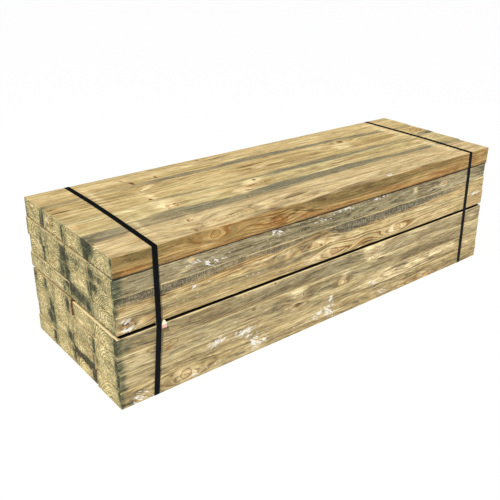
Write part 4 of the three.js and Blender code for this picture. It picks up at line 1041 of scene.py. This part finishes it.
for tier in range(1, 9):
    for column in range(1, 5):
        node = f"sleeper_t{tier}_c{column}"
        lo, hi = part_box(node)
        box = ((lo[0] * 1000 + SHIFT_X, lo[1] * 1000 + SHIFT_Y, lo[2] * 1000),
               (hi[0] * 1000 + SHIFT_X, hi[1] * 1000 + SHIFT_Y, hi[2] * 1000))
        look = LOOK.get((tier, column), {})
        r = rng.random(16)
        jitter = (r[0] - 0.5) * 14
        light = look.get("light", (208 + jitter, 186 + jitter, 136 + jitter * 0.8))
        mid = look.get("mid", (188 + jitter, 166 + jitter, 116 + jitter * 0.8))
        pith = look.get("pith", ((r[1] - 0.5) * 150, (r[2] - 0.5) * 110))
        exposed = tier == 1 or column in (1, 4)
        p = dict(
            seed=(float(r[3] * 40), float(r[4] * 40), float(r[5] * 40)),
            wander=0.030, pith=(pith[0] / 1000, pith[1] / 1000),
            tilt=((r[6] - 0.5) * 0.016, (r[7] - 0.5) * 0.016),
            ring=look.get("ring", 9 + 4 * r[8]) / 1000,
            light=lin(*light), mid=lin(*mid), dark=lin(*[v * 0.74 for v in mid]),
            late=lin(mid[0] * 0.70, mid[1] * 0.58, mid[2] * 0.44),
            streaks=0.5, contrast=look.get("contrast", 0.36), grey=look.get("grey", 0.9), flecks=look.get("flecks", 0.3),
            lines=look.get("lines", 0.34), lean=look.get("lean", 1.0), calm=look.get("calm", 0.0), gap_pale=look.get("gap_pale", 0.0 if column < 3 else 0.9), warm=look.get("warm", 0.32),
            grit=look.get("grit", 0.62), faces=look.get("faces", {}), arris_highlight_shade=look.get("arris_highlight_shade", []),
            gap={4: -1, 5: 1}.get(tier, 0) if column > 1 else 0, ledge_highlight={2: (0.55, 6), 5: (0.1 if column < 3 else 0.75, 2.5), 4: (0.85 if column < 3 else 0.2, 5)}.get(tier, (0.3, 4)),
            under_shade={1: 0.85, 4: 0.6, 3: 0.7 if column < 3 else 0.4}.get(tier, 0.3), inner=JOINT_SHADE.get((tier, column)),
            end_light=lin(222 + jitter, 203 + jitter, 150 + jitter), end_mid=lin(190 + jitter, 172 + jitter, 116 + jitter),
            sap=(14 + 22 * r[9], 14 + 22 * r[10]), fine=exposed)
        mat = wood("timber_" + node[8:], box, p)
        if exposed:
            ob = sleeper("visual_" + node, box, mat, 210, 24, 12, 100 + tier * 10 + column, WANE.get(node, ()))
        else:
            ob = sleeper("visual_" + node, box, mat, 36, 24, 12, 100 + tier * 10 + column, WANE.get(node, ()))
        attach(ob, "root")
        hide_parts(node)


# -------------------------------------------------------------------- straps
def strap_material():
    """Black strapping: near black, a little dusty in patches, with a soft sheen."""
    mat = bpy.data.materials.new("strapping_black")
    mat.use_nodes = True
    g = Nodes(mat.node_tree)
    b = mat.node_tree.nodes["Principled BSDF"]
    P = g.new("ShaderNodeTexCoord").outputs["Object"]
    dust = g.noise(g.v("MULTIPLY", P, (60.0, 22.0, 22.0)), 4.0, 0.65)
    speck = g.noise(g.v("MULTIPLY", P, (900.0, 700.0, 700.0)), 2.0, 0.6)
    c = g.mix(g.step(dust, 0.45, 0.75), (0.0022, 0.0030, 0.0044, 1), (0.0062, 0.0072, 0.0086, 1))
    c = g.mix(g.m("MULTIPLY", g.step(speck, 0.62, 0.74), 0.25), c, (0.05, 0.045, 0.035, 1))
    mat.node_tree.links.new(c, b.inputs["Base Color"])
    mat.node_tree.links.new(g.step(dust, 0.35, 0.75, 0.42, 0.62), b.inputs["Roughness"])
    b.inputs["Specular IOR Level"].default_value = 0.05
    return mat


def strap(name, corners, width, thickness, material):
    """A closed flat ring round the pack, embossed on its outside. corners: (y, z, x of the middle, bend radius) in mm."""
    line = []
    n = len(corners)
    for i in range(n):
        py, pz, px, _ = corners[i - 1]
        cy, cz, cx, rr = corners[i]
        ny, nz, nx, _ = corners[(i + 1) % n]
        a = np.array([cy - py, cz - pz]); b = np.array([ny - cy, nz - cz])
        la, lb = np.hypot(*a), np.hypot(*b)
        a, b = a / la, b / lb
        turn = math.atan2(a[0] * b[1] - a[1] * b[0], a @ b)
        if rr == 0:    # a point on a straight run
            line.append((cy, cz, cx, a[1], -a[0]))
            continue
        back = rr * math.tan(abs(turn) / 2)
        side = np.array([-a[1], a[0]]) * math.copysign(1, turn)
        o = np.array([cy, cz]) - a * back + side * rr
        xin = cx + (px - cx) * back / la
        xout = cx + (nx - cx) * back / lb
        steps = max(2, round(abs(turn) * (rr + 1) / 1.6))
        for k in range(steps + 1):
            t = turn * k / steps
            v = -side
            v = np.array([v[0] * math.cos(t) - v[1] * math.sin(t), v[0] * math.sin(t) + v[1] * math.cos(t)])
            line.append((o[0] + v[0] * rr, o[1] + v[1] * rr, xin + (xout - xin) * k / steps, v[0], v[1]))
    line = np.array(line)
    # points every 1.9 mm along it
    closed = np.vstack([line, line[:1]])
    step = np.hypot(np.diff(closed[:, 0]), np.diff(closed[:, 1]))
    s = np.concatenate([[0], np.cumsum(step)])
    count = int(s[-1] / 1.9) // 2 * 2
    extra = np.linspace(0, s[-1], count, endpoint=False)
    at = np.unique(np.round(np.concatenate([extra, s[:-1]]), 4))
    keep = np.concatenate([[True], np.diff(at) > 0.35])
    at = at[keep]
    path = np.stack([np.interp(at, s, closed[:, k]) for k in range(5)], 1)
    path[:, 3:5] /= np.hypot(path[:, 3], path[:, 4])[:, None]
    across = np.linspace(-0.5, 0.5, 15)
    m = len(path)
    # outside: raised small squares between two plain borders
    cell = np.floor(at / 1.9).astype(int)[:, None] + np.arange(15)[None, :]
    raised = np.where(cell % 2 == 0, 0.0, -0.22)
    raised[:, [0, 14]] = -0.10
    raised[:, [1, 13]] = 0.0
    outer = np.zeros((m, 15, 3))
    off = thickness + raised
    outer[:, :, 0] = path[:, 2:3] + across[None, :] * width
    outer[:, :, 1] = path[:, 0:1] + path[:, 3:4] * off
    outer[:, :, 2] = path[:, 1:2] + path[:, 4:5] * off
    innerp = np.zeros((m, 2, 3))
    for k, w in enumerate((-0.5, 0.5)):
        innerp[:, k, 0] = path[:, 2] + w * (width - 0.5)
        innerp[:, k, 1] = path[:, 0]
        innerp[:, k, 2] = path[:, 1]
    verts = np.concatenate([outer, innerp], 1).reshape(-1, 3)
    W = 17
    order = list(range(15)) + [16, 15]
    faces = []
    j = np.arange(m)
    j2 = (j + 1) % m
    for k in range(W):
        a, b = order[k], order[(k + 1) % W]
        faces.append(np.stack([j * W + a, j * W + b, j2 * W + b, j2 * W + a], 1))
    faces = np.concatenate(faces)
    verts = np.stack([(verts[:, 0] - SHIFT_X) / 1000, (verts[:, 1] - SHIFT_Y) / 1000, verts[:, 2] / 1000], 1)
    if volume(verts, faces) < 0:
        faces = faces[:, ::-1]
    return make_mesh(name, verts, faces, material, 60.0)


TOP, BOTTOM, TOUCH, PACK_WIDTH = 680.3, 1.3, 0.3, 796.0
SPACER_Z, SPACER_TOP = 330.8, 344.8
DROP_TOP, DROP_BOTTOM, PROUD = 336.8, 319.8, 17.0
black = strap_material()
wt, wb, wk, wf, wg = TOP + TOUCH, BOTTOM - TOUCH, PACK_WIDTH + TOUCH, -1.8 - TOUCH, -0.6 - TOUCH
NEARX, FARX = (205.5, 185.5, 163.5, 180), (2233, 2208, 2248, 2252)
rings = {
    "strap_near": [(wk, wb, NEARX[3], 4.0), (wk, wt, NEARX[0], 4.0), (560, wt, 206.5, 0), (330, wt, 200.5, 0),
                   (wf, wt, NEARX[1], 4.0), (-PROUD - TOUCH, DROP_TOP, 180, 1.5), (-PROUD - TOUCH, DROP_BOTTOM, 178.5, 1.5),
                   (wg, wb, NEARX[2], 4.0)],
    "strap_far": [(wk, wb, FARX[3], 4.0), (wk, wt, FARX[0], 4.0), (330, wt, 2230, 0), (wf, wt, FARX[1], 4.0),
                  (wg, wb, FARX[2], 4.0)],
}
for node, corners in rings.items():
    ob = strap("visual_" + node, corners, 25.0, 1.0, black)
    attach(ob, "root")
    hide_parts(node)


# ------------------------------------------------------------------- spacers
def spacer_material(name, seed, painted):
    mat = bpy.data.materials.new(name)
    mat.use_nodes = True
    nt = mat.node_tree
    nt.nodes.clear()
    g = Nodes(nt)
    out = g.new("ShaderNodeOutputMaterial")
    b = g.new("ShaderNodeBsdfPrincipled")
    nt.links.new(b.outputs[0], out.inputs["Surface"])
    P = g.new("ShaderNodeTexCoord").outputs["Object"]
    Q = g.v("ADD", P, seed)
    streak = g.noise(g.v("MULTIPLY", Q, (120.0, 3.0, 120.0)), 3.0, 0.6)
    fibre = g.noise(g.v("MULTIPLY", Q, (700.0, 30.0, 700.0)), 2.0, 0.6)
    c = g.mix(g.step(streak, 0.35, 0.65), lin(232, 212, 166), lin(196, 168, 116))
    tone = g.m("MULTIPLY_ADD", fibre, 0.4, 0.8)
    if painted:
        y = g.xyz(P)[1]
        edge = g.m("ADD", y, g.m("MULTIPLY", g.m("SUBTRACT", fibre, 0.5), 0.004))
        paint = g.step(edge, (-16.4 - SHIFT_Y) / 1000, (-14.6 - SHIFT_Y) / 1000, 1.0, 0.0)
        up = g.m("GREATER_THAN", g.xyz(g.new("ShaderNodeNewGeometry").outputs["True Normal"])[2], 0.3)
        paint = g.m("MULTIPLY", paint, g.m("SUBTRACT", 1.0, up))
        c = g.mix(paint, c, g.mix(g.step(streak, 0.35, 0.65), lin(240, 200, 188), lin(214, 150, 138)))
        c = g.mix(g.m("MULTIPLY", up, 0.8), c, lin(250, 240, 214))
    c = g.mix(1.0, c, g.join(tone, tone, tone), "MULTIPLY")
    nt.links.new(c, b.inputs["Base Color"])
    nt.links.new(g.m("MULTIPLY_ADD", streak, 0.2, 0.7), b.inputs["Roughness"])
    bump = g.new("ShaderNodeBump")
    bump.inputs["Strength"].default_value = 0.6
    bump.inputs["Distance"].default_value = 0.0005
    g.put(bump.inputs["Height"], g.m("ADD", fibre, streak))
    nt.links.new(bump.outputs[0], b.inputs["Normal"])
    return mat


def spacer(name, node, seed, drop, material):
    lo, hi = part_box(node)
    x0, x1 = lo[0] * 1000 + SHIFT_X, hi[0] * 1000 + SHIFT_X
    ya, yb = lo[1] * 1000 + SHIFT_Y, hi[1] * 1000 + SHIFT_Y
    rng = np.random.default_rng(seed)
    ys = np.concatenate([np.linspace(ya, min(ya + 24, yb), 14), np.linspace(ya + 30, yb - 3, 120), [yb - 0.8, yb]])
    k = len(ys)
    if drop:
        top = np.interp(ys, [-PROUD, -1.5], [DROP_TOP, SPACER_TOP])
        bot = np.interp(ys, [-PROUD, -2.0, 0.5], [DROP_BOTTOM, SPACER_Z - 3, SPACER_Z])
    else:
        top, bot = np.full(k, SPACER_TOP), np.full(k, SPACER_Z)
    A, B = 12, 6
    ring = []
    for a in range(A):
        ring.append((a / A, 1.0))
    for b in range(B):
        ring.append((1.0, 1 - b / B))
    for a in range(A):
        ring.append((1 - a / A, 0.0))
    for b in range(B):
        ring.append((0.0, b / B))
    M = len(ring)
    fx, fz = np.array([r[0] for r in ring]), np.array([r[1] for r in ring])
    X = x0 + (x1 - x0) * fx[None, :] * np.ones((k, 1))
    Z = bot[:, None] + (top - bot)[:, None] * fz[None, :]
    Yv = np.repeat(ys[:, None], M, 1)
    worn = 0.45 * field(rng, np.repeat(np.linspace(0, 1, k)[:, None], M, 1), np.repeat(np.linspace(0, 1, M)[None], k, 0), 60, 12)
    corner = ((fx == 0) | (fx == 1)) & ((fz == 0) | (fz == 1))
    inx = np.sign((x0 + x1) / 2 - X)
    inz = np.sign((top + bot)[:, None] / 2 - Z)
    X += inx * (worn * 0.6 + corner * 0.7)
    Z += inz * (worn * 0.25 + corner * 0.6) * (np.abs(Z - (top + bot)[:, None] / 2) > 1)
    for row in (0, k - 1):
        X[row] += np.clip((x0 + x1) / 2 - X[row], -0.6, 0.6)
        Z[row] += np.clip((top[row] + bot[row]) / 2 - Z[row], -0.5, 0.5)
    verts = np.stack([X, Yv, Z], 2).reshape(-1, 3)
    faces = []
    j = np.arange(k - 1)[:, None]
    i = np.arange(M)[None, :]
    i2 = (i + 1) % M
    tube = np.stack([j * M + i, j * M + i2, (j + 1) * M + i2, (j + 1) * M + i], 2).reshape(-1, 4)

    def at(a, b):
        if b == 0 and a < A:
            return a
        if a == A and b < B:
            return A + b
        if b == B and a > 0:
            return A + B + (A - a)
        return 2 * A + B + (B - b)

    extra = []
    caps = []
    for row in (0, k - 1):
        index = np.zeros((A + 1, B + 1), dtype=int)
        for a in range(A + 1):
            for b in range(B + 1):
                if 0 < a < A and 0 < b < B:
                    index[a, b] = len(verts) + len(extra)
                    zt, zb = verts[row * M + at(a, 0)], verts[row * M + at(a, B)]
                    q = zt + (zb - zt) * b / B
                    q = q + np.array([0, (0.5 if row == 0 else -0.5) * rng.random(), 0])
                    extra.append(q)
                else:
                    index[a, b] = row * M + at(a, b)
        for a in range(A):
            for b in range(B):
                q = [index[a, b], index[a + 1, b], index[a + 1, b + 1], index[a, b + 1]]
                caps.append(q if row else q[::-1])
    verts = np.concatenate([verts, np.array(extra)])
    verts = np.stack([(verts[:, 0] - SHIFT_X) / 1000, (verts[:, 1] - SHIFT_Y) / 1000, verts[:, 2] / 1000], 1)
    faces = np.concatenate([tube, np.array(caps)])
    if volume(verts, tube) < 0:
        pass
    return verts, tube, np.array(caps), material, name


for node, seed, drop in (("spacer_near", 5, True), ("spacer_far", 9, False)):
    mat = spacer_material("stick_" + node[7:], (seed * 1.7, 0.3, seed * 2.3), drop)
    verts, tube, caps, mat, name = spacer("visual_" + node, node, seed, drop, mat)
    mid = verts.mean(0)
    out = []
    for part in (tube, caps[:len(caps) // 2], caps[len(caps) // 2:]):
        fc = part[len(part) // 2]
        c = verts[fc].mean(0)
        n = np.cross(verts[fc[1]] - verts[fc[0]], verts[fc[2]] - verts[fc[0]])
        direction = (c - mid) * ((1, 0, 1) if part is tube else (0, 1, 0))
        out.append(part if n @ direction > 0 else part[:, ::-1])
    ob = make_mesh(name, verts, np.concatenate(out), mat)
    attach(ob, "root")
    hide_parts(node)

# --------------------------------------------------------------- floor, light
def plain(name, colour, rough):
    mat = bpy.data.materials.new(name)
    mat.use_nodes = True
    b = mat.node_tree.nodes["Principled BSDF"]
    b.inputs["Base Color"].default_value = colour
    b.inputs["Roughness"].default_value = rough
    b.inputs["Specular IOR Level"].default_value = 0.1
    return mat


fm = bpy.data.meshes.new("floor")
fm.from_pydata([(-60, -60, 0), (60, -60, 0), (60, 60, 0), (-60, 60, 0)], [], [(0, 1, 2, 3)])
fm.materials.append(plain("floor_pale", (0.81, 0.835, 0.885, 1), 0.9))
floor = bpy.data.objects.new("floor", fm)
bpy.context.scene.collection.objects.link(floor)

scene = bpy.context.scene
scene.view_settings.view_transform = "Standard"
scene.view_settings.exposure = 0.0
world = bpy.data.worlds.new("studio")
scene.world = world
world.use_nodes = True
bg = world.node_tree.nodes["Background"]
bg.inputs["Color"].default_value = (0.96, 0.98, 1.0, 1)
bg.inputs["Strength"].default_value = 0.16

sun = bpy.data.lights.new("key", "SUN")
sun.energy = 4.45
sun.angle = math.radians(4.0)
sun.color = (1.0, 0.965, 0.90)
key = bpy.data.objects.new("key", sun)
scene.collection.objects.link(key)
travel = np.array([0.47, 0.43, -0.77])
travel /= np.linalg.norm(travel)
from mathutils import Vector
key.rotation_euler = Vector(travel).to_track_quat("-Z", "Y").to_euler()

# -------------------------------------------------------------------- camera
cam = bpy.data.cameras.new("camera")
cam.sensor_width = 36.0
cam.sensor_fit = "AUTO"
cam.lens = 687.11 * 36.0 / 500.0
cam.clip_end = 200.0
eye = bpy.data.objects.new("camera", cam)
scene.collection.objects.link(eye)
right = Vector((0.77744, -0.628796, 0.014242))
down = Vector((-0.255925, -0.336947, -0.906073))
ahead = Vector((0.574534, 0.700773, -0.422881))
turn = Matrix((right, -down, -ahead)).transposed()
eye.matrix_world = Matrix.Translation((-2.2329, -2.4452, 1.7707)) @ turn.to_4x4()
scene.camera = eye
